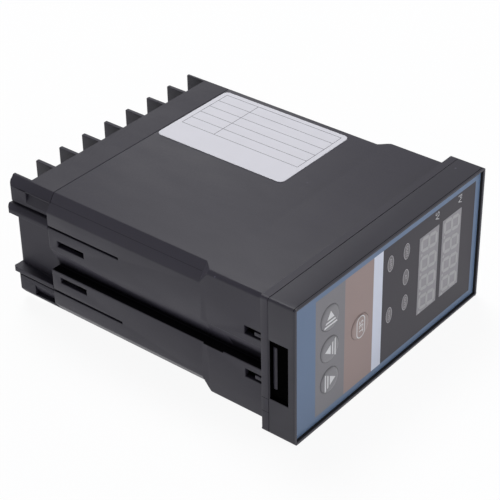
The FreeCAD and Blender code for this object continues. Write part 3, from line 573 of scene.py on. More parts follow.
@dataclass(frozen=True)
class SolderMask:
    """Circuit board: green mask over copper tracks, with tinned vias and bare edges."""

    name: str
    board: Box
    green: Colour = (0.012, 0.10, 0.035)
    track: Colour = (0.03, 0.20, 0.07)
    tin: Colour = (0.62, 0.62, 0.60)
    edge: Colour = (0.36, 0.34, 0.16)
    pitch: float = 1.27

    def make(self) -> bpy.types.Material:
        """Builds the material, with its tracks in the two long directions of the board.

        Returns:
            The material.
        """
        graph = Graph(self.name)
        size = self.board.size
        thin = min(range(3), key=lambda index: size[index])
        places = graph.place()
        u, v = [places[index] for index in range(3) if index != thin]
        depth = places[thin]
        block = graph.node("ShaderNodeCombineXYZ", {}, {0: (u / 9.0).floor(), 1: (v / 7.0).floor()})
        turn = graph.wire(graph.node("ShaderNodeTexWhiteNoise", {}, {"Vector": block.outputs[0]}))
        lanes_u = 1.0 - abs((v / self.pitch).part() - 0.5).above(0.13, 0.04)
        lanes_v = 1.0 - abs((u / self.pitch).part() - 0.5).above(0.13, 0.04)
        lane_u = graph.node("ShaderNodeCombineXYZ", {},
                            {0: (v / self.pitch).floor(), 1: (u / 9.0).floor()})
        used = graph.wire(graph.node("ShaderNodeTexWhiteNoise", {}, {"Vector": lane_u.outputs[0]}))
        wide = turn.above(0.5, 0.01)
        tracks = (lanes_u * wide + lanes_v * (1.0 - wide)) * used.above(0.35, 0.02)
        radius = ((((u / (2 * self.pitch)).part() - 0.5) ** 2.0)
                  + (((v / (2 * self.pitch)).part() - 0.5) ** 2.0)) ** 0.5
        spot = graph.node("ShaderNodeCombineXYZ", {}, {0: (u / (2 * self.pitch)).floor(),
                                                       1: (v / (2 * self.pitch)).floor(), 2: 4.0})
        drawn = graph.wire(graph.node("ShaderNodeTexWhiteNoise", {}, {"Vector": spot.outputs[0]}))
        vias = (1.0 - radius.above(0.17, 0.04)) * drawn.above(0.72, 0.02)
        low, high = self.board.low[thin], self.board.high[thin]
        rim = depth.within(low + 0.12, high - 0.12, 0.05)
        masked = graph.mix(tracks, self.green, self.track)
        tinned = graph.mix(vias, masked, self.tin)
        colour = graph.mix(rim, tinned, self.edge)
        graph.feed(base_color=colour, roughness=0.34 + rim * 0.4 - vias * 0.06,
                   metallic=vias * (1.0 - rim))
        graph.bump(tracks | vias, 0.03)
        return graph.material


@dataclass(frozen=True)
class Winding:
    """Tape or wire laid round a bobbin, seen as fine turns along one axis."""

    name: str
    colour: Colour
    pitch: float
    axis: int
    roughness: float = 0.35

    def make(self) -> bpy.types.Material:
        """Builds the material.

        Returns:
            The material.
        """
        graph = Graph(self.name)
        place = graph.place()[self.axis]
        turn = abs((place / self.pitch).part() - 0.5) * 2.0
        wrinkle = graph.noise(1.4, 2.0, (1.0, 1.0, 4.0))
        # The colour follows the turns: painted shade in the hollows between them and a painted
        # highlight on their crests.
        colour = graph.mix(turn * 0.5 + wrinkle * 0.3, tone(self.colour, 0.7),
                           tone(self.colour, 1.15))
        graph.feed(base_color=colour, roughness=self.roughness + (wrinkle - 0.5) * 0.2)
        graph.bump(turn * 0.7 + wrinkle * 0.3, 0.05)
        return graph.material


@dataclass(frozen=True)
class Sleeve:
    """Heat-shrunk capacitor sleeve with a pale polarity stripe down one side."""

    name: str
    centre: tuple[float, float]
    colour: Colour = (0.014, 0.018, 0.05)
    stripe: Colour = (0.42, 0.43, 0.47)

    def make(self) -> bpy.types.Material:
        """Builds the material round a vertical axis at the centre in X and Y.

        Returns:
            The material.
        """
        graph = Graph(self.name)
        across, along, up = graph.place()
        angle = (along - self.centre[1]).maths("ARCTAN2", along - self.centre[1],
                                               across - self.centre[0])
        band = angle.within(-2.1, -1.5, 0.04)
        dash = (up / 2.4).part().within(0.3, 0.7, 0.06) & angle.within(-1.86, -1.74, 0.03)
        creases = graph.noise(1.1, 2.0, (1.0, 1.0, 3.0))
        colour = graph.mix(band & (1.0 - dash), self.colour, self.stripe)
        graph.feed(base_color=colour, roughness=0.3 + (creases - 0.5) * 0.12)
        graph.bump(creases, 0.02)
        return graph.material


# ------------------------------------------------------------------ meshes: the tools


class Form:
    """A mesh in the making, in millimetres."""

    def __init__(self) -> None:
        """Starts an empty mesh."""
        self.mesh = bmesh.new()

    def block(self, low: Point, high: Point, rounding: float = 0.0, steps: int = 2) -> "Form":
        """Adds a box between two corners, its edges rounded by that radius.

        Args:
            low: The corner of lowest coordinates.
            high: The opposite corner.
            rounding: The radius of the edges.
            steps: How many faces round an edge.

        Returns:
            The form itself.
        """
        low, high = Vector(low), Vector(high)
        made = bmesh.ops.create_cube(self.mesh, size=1.0)["verts"]
        scale = Matrix.Diagonal((*(high - low), 1.0))
        matrix = Matrix.Translation((low + high) / 2) @ scale
        bmesh.ops.transform(self.mesh, matrix=matrix, verts=made)
        if rounding:
            edges = list({edge for vert in made for edge in vert.link_edges})
            bmesh.ops.bevel(self.mesh, geom=edges, offset=rounding, segments=steps, profile=0.5,
                            affect="EDGES")
        return self

    def turned(self, profile: Sequence[tuple[float, float]], centre: Point, axis: Axis,
               sides: int = 48) -> "Form":
        """Adds a solid of revolution.

        Args:
            profile: (radius, place along the axis) from end to end, closed at radius 0.
            centre: A point of the axis.
            axis: The axis.
            sides: How many sides it has round.

        Returns:
            The form.
        """
        rings = []
        for radius, along in profile:
            count = sides if radius > 0 else 1
            ring = []
            for index in range(count):
                angle = 2 * math.pi * index / count
                local = axis.place(radius * math.cos(angle), radius * math.sin(angle), along)
                ring.append(self.mesh.verts.new(Vector(centre) + local))
            rings.append(ring)
        for first, second in zip(rings, rings[1:]):
            for index in range(sides):
                corners = [first[index % len(first)], first[(index + 1) % len(first)],
                           second[(index + 1) % len(second)], second[index % len(second)]]
                self.mesh.faces.new(list(dict.fromkeys(corners)))
        return self

    def plate(self, corners: Sequence[Point], thickness: Point) -> "Form":
        """Adds a plate from a flat outline and the vector of its thickness.

        Args:
            corners: The outline, in order.
            thickness: The vector from one face to the other.

        Returns:
            The form itself.
        """
        near = [self.mesh.verts.new(Vector(corner)) for corner in corners]
        far = [self.mesh.verts.new(Vector(corner) + Vector(thickness)) for corner in corners]
        self.mesh.faces.new(near)
        self.mesh.faces.new(far[::-1])
        for index in range(len(near)):
            after = (index + 1) % len(near)
            self.mesh.faces.new([near[index], near[after], far[after], far[index]])
        return self

    def ring(self, outer: Sequence[Point], inner: Sequence[Point], thickness: Point) -> "Form":
        """Adds a flat ring between two outlines of as many points each.

        Args:
            outer: The outer outline, in order.
            inner: The inner outline, in the same order.
            thickness: The vector from one face to the other.

        Returns:
            The form itself.
        """
        flat, step = Vector(), Vector(thickness)
        loops = [[self.mesh.verts.new(Vector(point) + lift) for point in line]
                 for line, lift in ((outer, flat), (inner, flat), (inner, step), (outer, step))]
        for first, second in zip(loops, loops[1:] + loops[:1]):
            for index in range(len(first)):
                after = (index + 1) % len(first)
                self.mesh.faces.new([first[index], first[after], second[after], second[index]])
        return self

    def text(self, words: str, size: float, place: Matrix, thickness: float) -> "Form":
        """Adds centred raised lettering.

        Args:
            words: What it says.
            size: The size of the type.
            place: The matrix from the page, read from +Z with +Y up, to its place.
            thickness: How thick it is.

        Returns:
            The form.
        """
        curve = bpy.data.curves.new("lettering", "FONT")
        curve.body = words
        curve.size = size
        curve.extrude = thickness / 2
        curve.resolution_u = 3
        curve.align_x, curve.align_y = "CENTER", "CENTER"
        holder = bpy.data.objects.new("lettering", curve)
        mesh = bpy.data.meshes.new_from_object(holder)
        mesh.transform(place)
        self.mesh.from_mesh(mesh)
        bpy.data.objects.remove(holder)
        bpy.data.meshes.remove(mesh)
        bpy.data.curves.remove(curve)
        return self

    def object(self, name: str, material: Optional[bpy.types.Material] = None,
               crease: float = 32.0) -> bpy.types.Object:
        """Turns the form into an object at the origin.

        Args:
            name: The piece's name.
            material: What it is dressed in.
            crease: The angle, in degrees, past which an edge stays sharp.

        Returns:
            The object.
        """
        bmesh.ops.remove_doubles(self.mesh, verts=self.mesh.verts[:], dist=0.0005)
        bmesh.ops.recalc_face_normals(self.mesh, faces=self.mesh.faces[:])
        bmesh.ops.scale(self.mesh, vec=(METRE,) * 3, verts=self.mesh.verts[:])
        mesh = bpy.data.meshes.new(name)
        self.mesh.to_mesh(mesh)
        self.mesh.free()
        mesh.shade_smooth()
        mesh.set_sharp_from_angle(angle=math.radians(crease))
        if material:
            mesh.materials.append(material)
        piece = bpy.data.objects.new(name, mesh)
        bpy.context.scene.collection.objects.link(piece)
        return piece


class GeometryTree:
    """A Geometry Nodes tree with named inputs."""

    def __init__(self, name: str) -> None:
        """Starts a tree with its input and output nodes.

        Args:
            name: The tree's name.
        """
        self.tree = bpy.data.node_groups.new(name, "GeometryNodeTree")
        self.tree.interface.new_socket(name="Geometry", in_out="OUTPUT",
                                       socket_type="NodeSocketGeometry")
        self.source = self.tree.nodes.new("NodeGroupInput")
        self.result = self.tree.nodes.new("NodeGroupOutput")

    def input(self, name: str, kind: str) -> str:
        """Adds a named input of a kind, such as Int or Vector, and gives its name."""
        self.tree.interface.new_socket(name=name, in_out="INPUT", socket_type=f"NodeSocket{kind}")
        return name

    def node(self, kind: str, settings: dict[str, Any], values: dict[Any, Any]) -> bpy.types.Node:
        """Adds a node.

        Args:
            kind: The node's type.
            settings: Its properties, which are set first.
            values: What its sockets get: a value, a socket, or the name of an input.

        Returns:
            The node.
        """
        node = self.tree.nodes.new(kind)
        for key, value in settings.items():
            setattr(node, key, value)
        for key, value in values.items():
            if isinstance(value, str):
                value = self.source.outputs[value]
            if isinstance(value, bpy.types.NodeSocket):
                self.tree.links.new(value, node.inputs[key])
            else:
                node.inputs[key].default_value = value
        return node

    def end(self, geometry: bpy.types.NodeSocket) -> None:
        """Realizes the instances, sets the material and ends the tree.

        Args:
            geometry: The socket that gives the finished geometry.
        """
        real = self.node("GeometryNodeRealizeInstances", {}, {0: geometry})
        dressed = self.node("GeometryNodeSetMaterial", {}, {"Geometry": real.outputs[0],
                                                            "Material": "Finish"})
        self.tree.links.new(dressed.outputs[0], self.result.inputs[0])

    def grow(self, name: str, values: dict[str, Any]) -> bpy.types.Object:
        """Makes an object with the tree, and turns it into a plain mesh.

        Args:
            name: The piece's name.
            values: The tree's inputs, by name.

        Returns:
            The object, at the origin, with no modifier left on it.
        """
        piece = bpy.data.objects.new(name, bpy.data.meshes.new(name))
        bpy.context.scene.collection.objects.link(piece)
        modifier = piece.modifiers.new("Repeat", "NODES")
        modifier.node_group = self.tree
        for item in self.tree.interface.items_tree:
            if item.in_out == "INPUT" and item.name in values:
                modifier[item.identifier] = values[item.name]
        depsgraph = bpy.context.evaluated_depsgraph_get()
        mesh = bpy.data.meshes.new_from_object(piece.evaluated_get(depsgraph))
        piece.modifiers.clear()
        piece.data = mesh
        mesh.name = name
        return piece


@dataclass(frozen=True)
class Layout:
    """Where a repeated shape stands: columns of rows, some of whose places may stay empty.

    first is the first place, the steps are the ways from one column or row to the next,
    left_out is the share of the places that stay empty, and seed chooses them.
    """

    first: Point
    columns: int = 1
    column_step: Point = (0.0, 0.0, 0.0)
    rows: int = 1
    row_step: Point = (0.0, 0.0, 0.0)
    left_out: float = 0.0
    seed: int = 1


class ShapeGrid:
    """Repeats one shape over a layout."""

    def __init__(self) -> None:
        """Builds the tree once."""
        self.nodes = GeometryTree("shape_grid")
        for name, kind in (("Shape", "Object"), ("First", "Vector"), ("Columns", "Int"),
                           ("Column Step", "Vector"), ("Rows", "Int"), ("Row Step", "Vector"),
                           ("Left Out", "Float"), ("Seed", "Int"), ("Finish", "Material")):
            self.nodes.input(name, kind)
        add = self.nodes.node
        columns = add("GeometryNodeMeshLine", {"mode": "OFFSET"},
                      {"Count": "Columns", "Start Location": "First", "Offset": "Column Step"})
        rows = add("GeometryNodeMeshLine", {"mode": "OFFSET"},
                   {"Count": "Rows", "Offset": "Row Step"})
        crossed = add("GeometryNodeInstanceOnPoints", {},
                      {"Points": columns.outputs[0], "Instance": rows.outputs[0]})
        places = add("GeometryNodeRealizeInstances", {}, {0: crossed.outputs[0]})
        chance = add("FunctionNodeRandomValue", {"data_type": "BOOLEAN"},
                     {"Probability": "Left Out", "Seed": "Seed"})
        kept = add("GeometryNodeDeleteGeometry", {"domain": "POINT"},
                   {"Geometry": places.outputs[0], "Selection": chance.outputs[3]})
        shape = add("GeometryNodeObjectInfo", {}, {"Object": "Shape"})
        placed = add("GeometryNodeInstanceOnPoints", {},
                     {"Points": kept.outputs[0], "Instance": shape.outputs["Geometry"]})
        self.nodes.end(placed.outputs[0])

    def make(self, name: str, shape: Form, material: bpy.types.Material,
             layout: Layout) -> bpy.types.Object:
        """Repeats a shape that is drawn round the origin.

        Args:
            name: The piece's name.
            shape: What is repeated.
            material: What it is dressed in.
            layout: Where it stands.

        Returns:
            The piece, as a plain mesh.
        """
        unit = shape.object(f"{name}_unit")
        places = {key: tuple(float(part) * METRE for part in value)
                  for key, value in (("First", layout.first), ("Column Step", layout.column_step),
                                     ("Row Step", layout.row_step))}
        piece = self.nodes.grow(name, {"Shape": unit, "Columns": layout.columns,
                                       "Rows": layout.rows, "Left Out": layout.left_out,
                                       "Seed": layout.seed, "Finish": material, **places})
        bpy.data.objects.remove(unit)
        return piece


def fit(piece: bpy.types.Object, body: Body, stands_for: Sequence[str] = ()) -> bpy.types.Object:
    """Puts a finished piece on its body.

    Args:
        piece: The piece.
        body: What it moves with.
        stands_for: The frame's nodes that it is shown in place of.

    Returns:
        The piece.
    """
    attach(piece, body.value)
    if stands_for:
        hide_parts(*stands_for)
    LOG.info("%s: %d faces on %s", piece.name, len(piece.data.polygons), body.value)
    return piece


def dress(node: str, material: bpy.types.Material) -> None:
    """Gives a node of the frame its material.

    Args:
        node: The node's name.
        material: What it is dressed in.
    """
    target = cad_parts[node]
    for slot in target.material_slots:
        slot.material = material
    LOG.info("%s: dressed in %s", node, material.name)


def soften(node: str, material: bpy.types.Material, body: Body, width: float) -> bpy.types.Object:
    """Shows a node with its outward edges rounded over.

    Args:
        node: The node, which the softened copy replaces.
        material: What the copy is dressed in.
        body: What it moves with.
        width: The width of the rounding, in millimetres.

    Returns:
        The copy.
    """
    sharp, short = math.radians(28.0), 0.3 * METRE
    mesh = bmesh.new()
    mesh.from_mesh(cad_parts[node].data)
    bmesh.ops.remove_doubles(mesh, verts=mesh.verts[:], dist=0.002 * METRE)
    edges = [edge for edge in mesh.edges
             if edge.is_convex and edge.calc_face_angle(0.0) > sharp and edge.calc_length() > short]
    bmesh.ops.bevel(mesh, geom=edges, offset=width * METRE, segments=2, profile=0.5,
                    affect="EDGES", clamp_overlap=False)
    bmesh.ops.triangulate(mesh, faces=mesh.faces[:])
    data = bpy.data.meshes.new(f"soft_{node}")
    mesh.to_mesh(data)
    mesh.free()
    data.shade_smooth()
    data.set_sharp_from_angle(angle=math.radians(15.0))
    data.materials.append(material)
    piece = bpy.data.objects.new(f"soft_{node}", data)
    bpy.context.scene.collection.objects.link(piece)
    return fit(piece, body, (node,))


# ------------------------------------------------------------------ the housing


@dataclass
class Housing:
    """The case with its terminal block, label and terminal screws."""

    grid: ShapeGrid
    charcoal: Colour = (0.034, 0.031, 0.046)
    terminals: int = 8
    pitch: float = 10.4
    head_radius: float = 2.8
    head_height: float = 1.9
    head_fall: float = 0.32
    cross_half: float = 0.42
    cross_wall: float = 0.12
    cross_share: float = 0.66
    cross_end: float = 0.35
    recess: float = 1.1
    shank_radius: float = 1.5
    shank_length: float = 6.0
    collar_back: float = 12.3
    side: float = 46.5
    line_half: float = 0.05
    corner_levels: tuple[float, float] = (4.4, 43.6)
    corner_start: float = 24.5
    channel_low: float = 19.95
    channel_high: float = 27.9
    channel_root: float = 36.0
    channel_floor: float = 43.3
    notch: tuple[float, float] = (28.0, 35.5)
    lip_lines: tuple[float, float] = (7.62, 12.52)
    lip_line: float = 0.14
    hook_inset: float = 1.2
    hook_spread: float = 7.7
    hook_half: float = 1.4
    catch_length: float = 2.8
    catch_height: float = 1.25
    catch_rise: float = 0.75
    catch_half: float = 0.4
    catch_across: float = 45.4

    def build(self) -> None:
        """Dresses the solids and adds the screws, the moulding marks and the painted shade on the
        case.
        """
        case = Moulding("charcoal_case", self.charcoal, marks=self.marks()).make()
        soften("case", case, Body.HOUSING, 0.28)
        block = Moulding("charcoal_block", tone(self.charcoal, 0.92), 0.58).make()
        soften("terminal_block", block, Body.HOUSING, 0.24)
        dress("rating_label", RuledLabel("ruled_label", Box.of("rating_label")).make())
        tin = Metal("tinned_brass", (0.66, 0.60, 0.46), 0.34).make()
        zinc = Metal("zinc_plate", (0.62, 0.63, 0.64), 0.28).make()
        bright = Metal("bright_zinc", (0.68, 0.68, 0.66), 0.24, (1.0, 8.0, 1.0)).make()
        for column in ("low", "middle", "high"):
            dress(f"terminal_contacts_{column}", tin)
            dress(f"terminal_washers_{column}", zinc)
            self.screws(column, bright)
        self.catches(case)

    def screw(self) -> Form:
        """One pan head screw with a cross recess, its head's seat at the origin.

        Returns:
            The screw.
        """
        form = Form()
        sides, rings = 48, 12
        loops = []
        for ring in range(rings + 1):
            radius = self.head_radius * ring / rings
            loop = []
            for side in range(sides if ring else 1):
                angle = 2 * math.pi * side / sides
                u, v = radius * math.cos(angle), radius * math.sin(angle)
                loop.append(form.mesh.verts.new((u, self.crown(u, v), v)))
            loops.append(loop)
        for first, second in zip(loops, loops[1:]):
            for side in range(sides):
                corners = [first[side % len(first)], first[(side + 1) % len(first)],
                           second[(side + 1) % sides], second[side]]
                form.mesh.faces.new(list(dict.fromkeys(corners)))
        rim = self.crown(self.head_radius, 0.0)
        form.turned([(self.head_radius, rim), (self.head_radius, 0.0), (self.shank_radius, 0.0),
                     (self.shank_radius, -self.shank_length), (0.0, -self.shank_length)],
                    (0, 0, 0), Axis.Y, sides)
        return form

    def crown(self, u: float, v: float) -> float:
        """The height of the screw head at a place across it.

        Args:
            u: The first coordinate across the head.
            v: The second one.

        Returns:
            The height above the head's seat.
        """
        radius = math.hypot(u, v) / self.head_radius
        dome = self.head_height * (1.0 - self.head_fall * radius ** 4)
        arm = min(abs(u), abs(v))
        reach = max(abs(u), abs(v))
        width = max(0.0, min(1.0, (self.cross_half - arm) / self.cross_wall))
        length = max(0.0, min(1.0, (self.head_radius * self.cross_share - reach) / self.cross_end))
        return dome - self.recess * width * length

    def screws(self, column: str, material: bpy.types.Material) -> None:
        """One column of terminal screws, in place of its plain solids.

        Args:
            column: The column's name.
            material: What the screws are dressed in.
        """
        node = f"terminal_screws_{column}"
        box = Box.of(node)
        first = (box.low.x + self.head_radius, box.high.y - self.head_height, box.middle.z)
        row = Layout(first, self.terminals, (self.pitch, 0, 0))
        piece = self.grid.make(f"pan_screws_{column}", self.screw(), material, row)
        fit(piece, Body.HOUSING, (node,))

    def marks(self) -> tuple[Mark, ...]:
        """The mould's parting lines and slits, and painted shade in the side channel, at its notch
        and behind the bezel's lock window, as regions of |X|, Y and Z.

        Returns:
            The marks.
        """
        case = Box.of("case")
        front, back = Box.of("bezel").low.y, case.high.y
        seat = front + self.collar_back
        low, high, root, side = self.channel_low, self.channel_high, self.channel_root, self.side
        corners = tuple(Mark((41.0, seat + self.corner_start, level - self.line_half),
                             (side, back, level + self.line_half), 0.5)
                        for level in self.corner_levels)
        notch_front, notch_back = (front + place for place in self.notch)
        # Painted shade: a notch in the channel's lower edge, down the channel's slope, along its
        # lower ledge, and a painted shadow near the collar.
        channel_shade = (
            Mark((45.4, notch_front, 19.5), (side, notch_back, 20.02), 0.95),
            Mark((root, seat, low), (self.channel_floor, back, high), 0.72, (2.2, 0.05, 0.05)),
            Mark((43.0, seat, low), (45.75, back, low + 2 * self.line_half), 0.85),
            Mark((root, seat, 20.06), (44.3, front + 27.0, high), 0.75, (1.0, 0.6, 0.1)),
        )
        lips = tuple(Mark((47.5, front + 9.5, level), (49.0, seat, level + self.lip_line), 0.8)
                     for level in reversed(self.lip_lines))
        # Painted shadow on the lock tongue, seen through the bezel's lock window.
        window_shadow = Mark((40.0, front + 1.0, 11.5), (46.45, front + 9.9, 36.5))
        return (*corners, *channel_shade, *lips, window_shadow)

    def catches(self, material: bpy.types.Material) -> None:
        """The stop bars in the case's four front hook windows.

        Args:
            material: What the bars are dressed in.
        """
        front = Box.of("bezel").low.y + self.collar_back + self.hook_inset
        half = self.catch_half
        bar = Form().block((-half, 0.0, 0.0), (half, self.catch_length, self.catch_height), 0.12)
        low = Box.of("bezel").middle.z - self.hook_spread - self.hook_half + self.catch_rise
        first = (-self.catch_across, front, low)
        corners = Layout(first, 2, (2 * self.catch_across, 0, 0), 2, (0, 0, 2 * self.hook_spread))
        piece = self.grid.make("hook_stops", bar, material, corners)
        fit(piece, Body.HOUSING)


# ------------------------------------------------------------------ the front


class Icon(Enum):
    """What is printed on a key, as the way that its arrow points in (X, Z)."""

    SHIFT = (0.0, 1.0)
    DOWN = (-1.0, 0.0)
    UP = (1.0, 0.0)
    SET = (0.0, 0.0)


@dataclass(frozen=True)
class Tones:
    """The printed colours of the front."""

    blue: Colour = (0.128, 0.196, 0.32)
    grey: Colour = (0.215, 0.21, 0.228)
    mauve: Colour = (0.335, 0.25, 0.235)
    white: Colour = (0.70, 0.74, 0.86)
    smoke: Colour = (0.017, 0.0135, 0.024)
    window: Colour = (0.26, 0.25, 0.275)
    lamp: Colour = (0.135, 0.125, 0.14)
    lamp_line: Colour = (0.42, 0.405, 0.43)
    segment: Colour = (0.37, 0.365, 0.38)
    legend: Colour = (0.72, 0.72, 0.74)
    window_legend: Colour = (0.52, 0.52, 0.54)


@dataclass
class FrontPanel:
    """The bezel, its printed film, the keys, and what is printed on them."""

    grid: ShapeGrid
    tones: Tones = field(default_factory=Tones)
    print_thick: float = 0.03
    key_radius: float = 4.25
    flange_radius: float = 5.2
    flange_inset: float = 1.35
    flange_thick: float = 0.5
    stem_radius: float = 1.6
    dome_flat: float = 0.72
    dome_turn: float = 0.28
    dome_sag: float = 0.06
    dome_drop: float = 1.1
    dome_steps: int = 6
    slot_outer: tuple[float, float] = (2.05, 3.95)
    slot_inner: tuple[float, float] = (1.72, 3.62)
    arrow_tall: float = 5.1
    arrow_base: float = 6.4
    arrow_bands: tuple[tuple[float, float], ...] = ((0.0, 2.65), (3.3, 3.9), (4.5, 5.1))
    letter: float = 2.9
    window_margin: tuple[float, float] = (0.9, 0.95)
    digits: int = 4
    digit_point: float = 0.5
    digit_point_gap: float = 0.9
    legend_across: float = 3.8
    legend_up: float = 17.6
    lamp_half: tuple[float, float] = (1.55, 2.8)
    lamp_rim: float = 0.2
    film_gap: float = 0.15
    strip_edges: tuple[float, ...] = (-37.5, -23.6, -9.6, -4.95, 44.3)
    border_low: float = 2.4
    border_high: float = 2.45
    window_low: Place = (40.0, 2.5, 13.0)
    window_high: Place = (47.75, 9.35, 34.0)
    shade_liner_start: float = 0.25

    def __post_init__(self) -> None:
        """Reads the film's place."""
        self.film = Box.of("front_overlay")
        self.face = self.film.low.y

    def build(self) -> None:
        """Dresses the solids and adds the keys, the printing and the painted shade round the film.
        """
        tones = self.tones
        bezel = Moulding("charcoal_bezel", (0.031, 0.029, 0.042), 0.47, marks=self.window_shade_and_line()).make()
        soften("bezel", bezel, Body.CHASSIS, 0.2)
        low, high = self.film.low, self.film.high
        edges = self.strip_edges
        strips = tuple(Strip(start, end, colour) for start, end, colour in
                       zip(edges, edges[1:], (tones.grey, tones.mauve, tones.white, tones.smoke)))
        sides = (low.x, high.x, low.z + self.border_low, high.z - self.border_high)
        dress("front_overlay", FrontFilm("printed_film", tones.blue, strips, sides).make())
        white = Ink("white_print", tones.legend).make()
        self.window = Ink("display_window", tones.window, 0.3).make()
        self.segments = Ink("unlit_segments", tones.segment, 0.3).make()
        grey = Ink("grey_key_film", tones.grey, 0.36).make()
        mauve = Ink("mauve_key_film", tones.mauve, 0.36).make()
        for name, icon, body, film, slot in (("shift", Icon.SHIFT, Body.SHIFT, grey, "arrow_key"),
                                             ("down", Icon.DOWN, Body.DOWN, grey, "arrow_key"),
                                             ("up", Icon.UP, Body.UP, grey, "arrow_key"),
                                             ("set", Icon.SET, Body.SET, mauve, "set_key")):
            self.key(name, icon, body, film, white, slot)
        legend = Ink("legend_print", tones.window_legend).make()
        for name in ("sv", "pv"):
            self.display(name, legend)
        self.lamps()
        self.shade_liner()

    def window_shade_and_line(self) -> tuple[Mark, ...]:
        """The painted shadow in the bezel's lock window, and a thin dark line behind its front
        edge.

        Returns:
            The marks.
        """
        front = Box.of("bezel").low.y
        first, last = (Vector(corner) + Vector((0.0, front, 0.0))
                       for corner in (self.window_low, self.window_high))
        return (
            # Painted shadow inside the lock window.
            Mark(tuple(first), tuple(last)),
            # A thin dark line across the top and the sides, behind the front edge.
            Mark((-1.0, front + 0.56, 47.4), (49.0, front + 0.78, 49.0), 0.95),
            Mark((47.4, front + 0.62, -1.0), (49.0, front + 0.72, 49.0), 0.35),
        )

    def shade_liner(self) -> None:
        """Black sheets on the rim's inner walls and in the gap round the film: painted shade of the
        recess and the gap.
        """
        low, high = self.film.low, self.film.high
        rim = Box.of("bezel").low.y

        def frame_line(grow: float, level: float) -> list[Point]:
            """The film's outline, grown outwards, at a level along Y.

            Args:
                grow: How far outwards the outline is grown.
                level: The level along Y.

            Returns:
                Its four corners.
            """
            left, right = low.x - grow, high.x + grow
            foot, head = low.z - grow, high.z + grow
            return [(left, level, foot), (right, level, foot), (right, level, head),
                    (left, level, head)]

        outer, start, thick = self.film_gap - 0.01, rim + self.shade_liner_start, self.print_thick
        # Painted shade: a black ring on the rim's inner walls, and a black frame over the gap and
        # the film's edge.
        form = Form()
        form.ring(frame_line(outer, start), frame_line(outer - 0.04, start),
                  (0, self.face - start, 0))
        form.ring(frame_line(outer, self.face - thick), frame_line(-0.12, self.face - thick),
                  (0, thick, 0))
        gap_shade = Ink("rim_gap_shade", (0.006, 0.006, 0.007), 0.7).make()
        fit(form.object("rim_liner", gap_shade), Body.CHASSIS)

    def spot(self, across: float, up: float) -> Matrix:
        """The matrix from a page to a place of the film, read with +X up."""
        turn = Matrix(((0, 1, 0), (0, 0, -1), (-1, 0, 0))).to_4x4()
        return Matrix.Translation((across, self.face - self.print_thick / 2, up)) @ turn

    def flat(self, points: Sequence[tuple[float, float]],
             level: Optional[float] = None) -> list[Point]:
        """Points of the film from their (X, Z)."""
        depth = self.face if level is None else level
        return [(across, depth, up) for across, up in points]

    def oval(self, centre: tuple[float, float], half: tuple[float, float],
             count: int = 48) -> list[tuple[float, float]]:
        """An ellipse round a centre, in (X, Z).

        Args:
            centre: Its centre.
            half: Its half lengths.
            count: How many points it has.

        Returns:
            Its points, in order.
        """
        return [(centre[0] + half[0] * math.cos(2 * math.pi * index / count),
                 centre[1] + half[1] * math.sin(2 * math.pi * index / count))
                for index in range(count)]

    def stadium(self, centre: tuple[float, float], half: tuple[float, float],
                count: int = 24) -> list[tuple[float, float]]:
        """A slot shape, long along Z, round a centre.

        Args:
            centre: Its centre.
            half: Its half width and half length.
            count: How many steps each round end has.

        Returns:
            Its points, in order.
        """
        points = []
        for end in (1, -1):
            for index in range(count + 1):
                angle = math.pi * index / count
                points.append((centre[0] + end * half[0] * math.cos(angle),
                               centre[1] + end * (half[1] - half[0] + half[0] * math.sin(angle))))
        return points

    def key(self, name: str, icon: Icon, body: Body, film: bpy.types.Material,
            white: bpy.types.Material, slot: str) -> None:
        """One domed key and its printing.

        Args:
            name: The key's name.
            icon: What is printed on it.
            body: The body that it moves with.
            film: What the dome is dressed in.
            white: What the printing is dressed in.
            slot: The slot that both are in; not used.
        """
        box = Box.of(f"key_{name}")
        centre = (box.middle.x, 0.0, box.middle.z)
        top, back = box.low.y, box.high.y
        radius = self.key_radius
        rise = self.face - top
        flat, sagged = radius * self.dome_flat, top + rise * self.dome_sag
        profile = [(0.0, top), (radius * 0.5, top), (flat, sagged)]
        for step in range(1, self.dome_steps + 1):
            angle = math.pi / 2 * step / self.dome_steps
            profile.append((flat + radius * self.dome_turn * math.sin(angle),
                            sagged + (rise * self.dome_drop) * (1 - math.cos(angle))))
        flange = back - self.flange_inset
        behind = flange + self.flange_thick
        profile += [(radius, flange), (self.flange_radius, flange), (self.flange_radius, behind),
                    (self.stem_radius, behind), (self.stem_radius, back), (0.0, back)]
        dome = Form().turned(profile, centre, Axis.Y, 64)
        fit(dome.object(f"domed_key_{name}", film), body, (f"key_{name}",))
        form = Form()
        level = top - self.print_thick / 2
        thick = (0, self.print_thick, 0)
        if icon is Icon.SET:
            outer = self.stadium((centre[0], centre[2]), self.slot_outer)
            inner = self.stadium((centre[0], centre[2]), self.slot_inner)
            form.ring(self.flat(outer, level), self.flat(inner, level), thick)
            place = self.spot(centre[0], centre[2])
            place.translation.y = level + self.print_thick / 2
            form.text("SET", self.letter, place, self.print_thick)
        else:
            for start, end in self.arrow_bands:
                band = self.slice(icon, (centre[0], centre[2]), start, end)
                form.plate(self.flat(band, level), thick)
        fit(form.object(f"key_print_{name}", white), body, ())

    def slice(self, icon: Icon, centre: tuple[float, float], start: float,
              end: float) -> list[tuple[float, float]]:
        """The part of an arrow between two distances from its tip.

        Args:
            icon: The arrow.
            centre: The key's centre.
            start: The nearer distance from the tip.
            end: The farther one.

        Returns:
            The part's points, in order.
        """
        tall, base = self.arrow_tall, self.arrow_base
        ahead = icon.value
        beside = (-ahead[1], ahead[0])

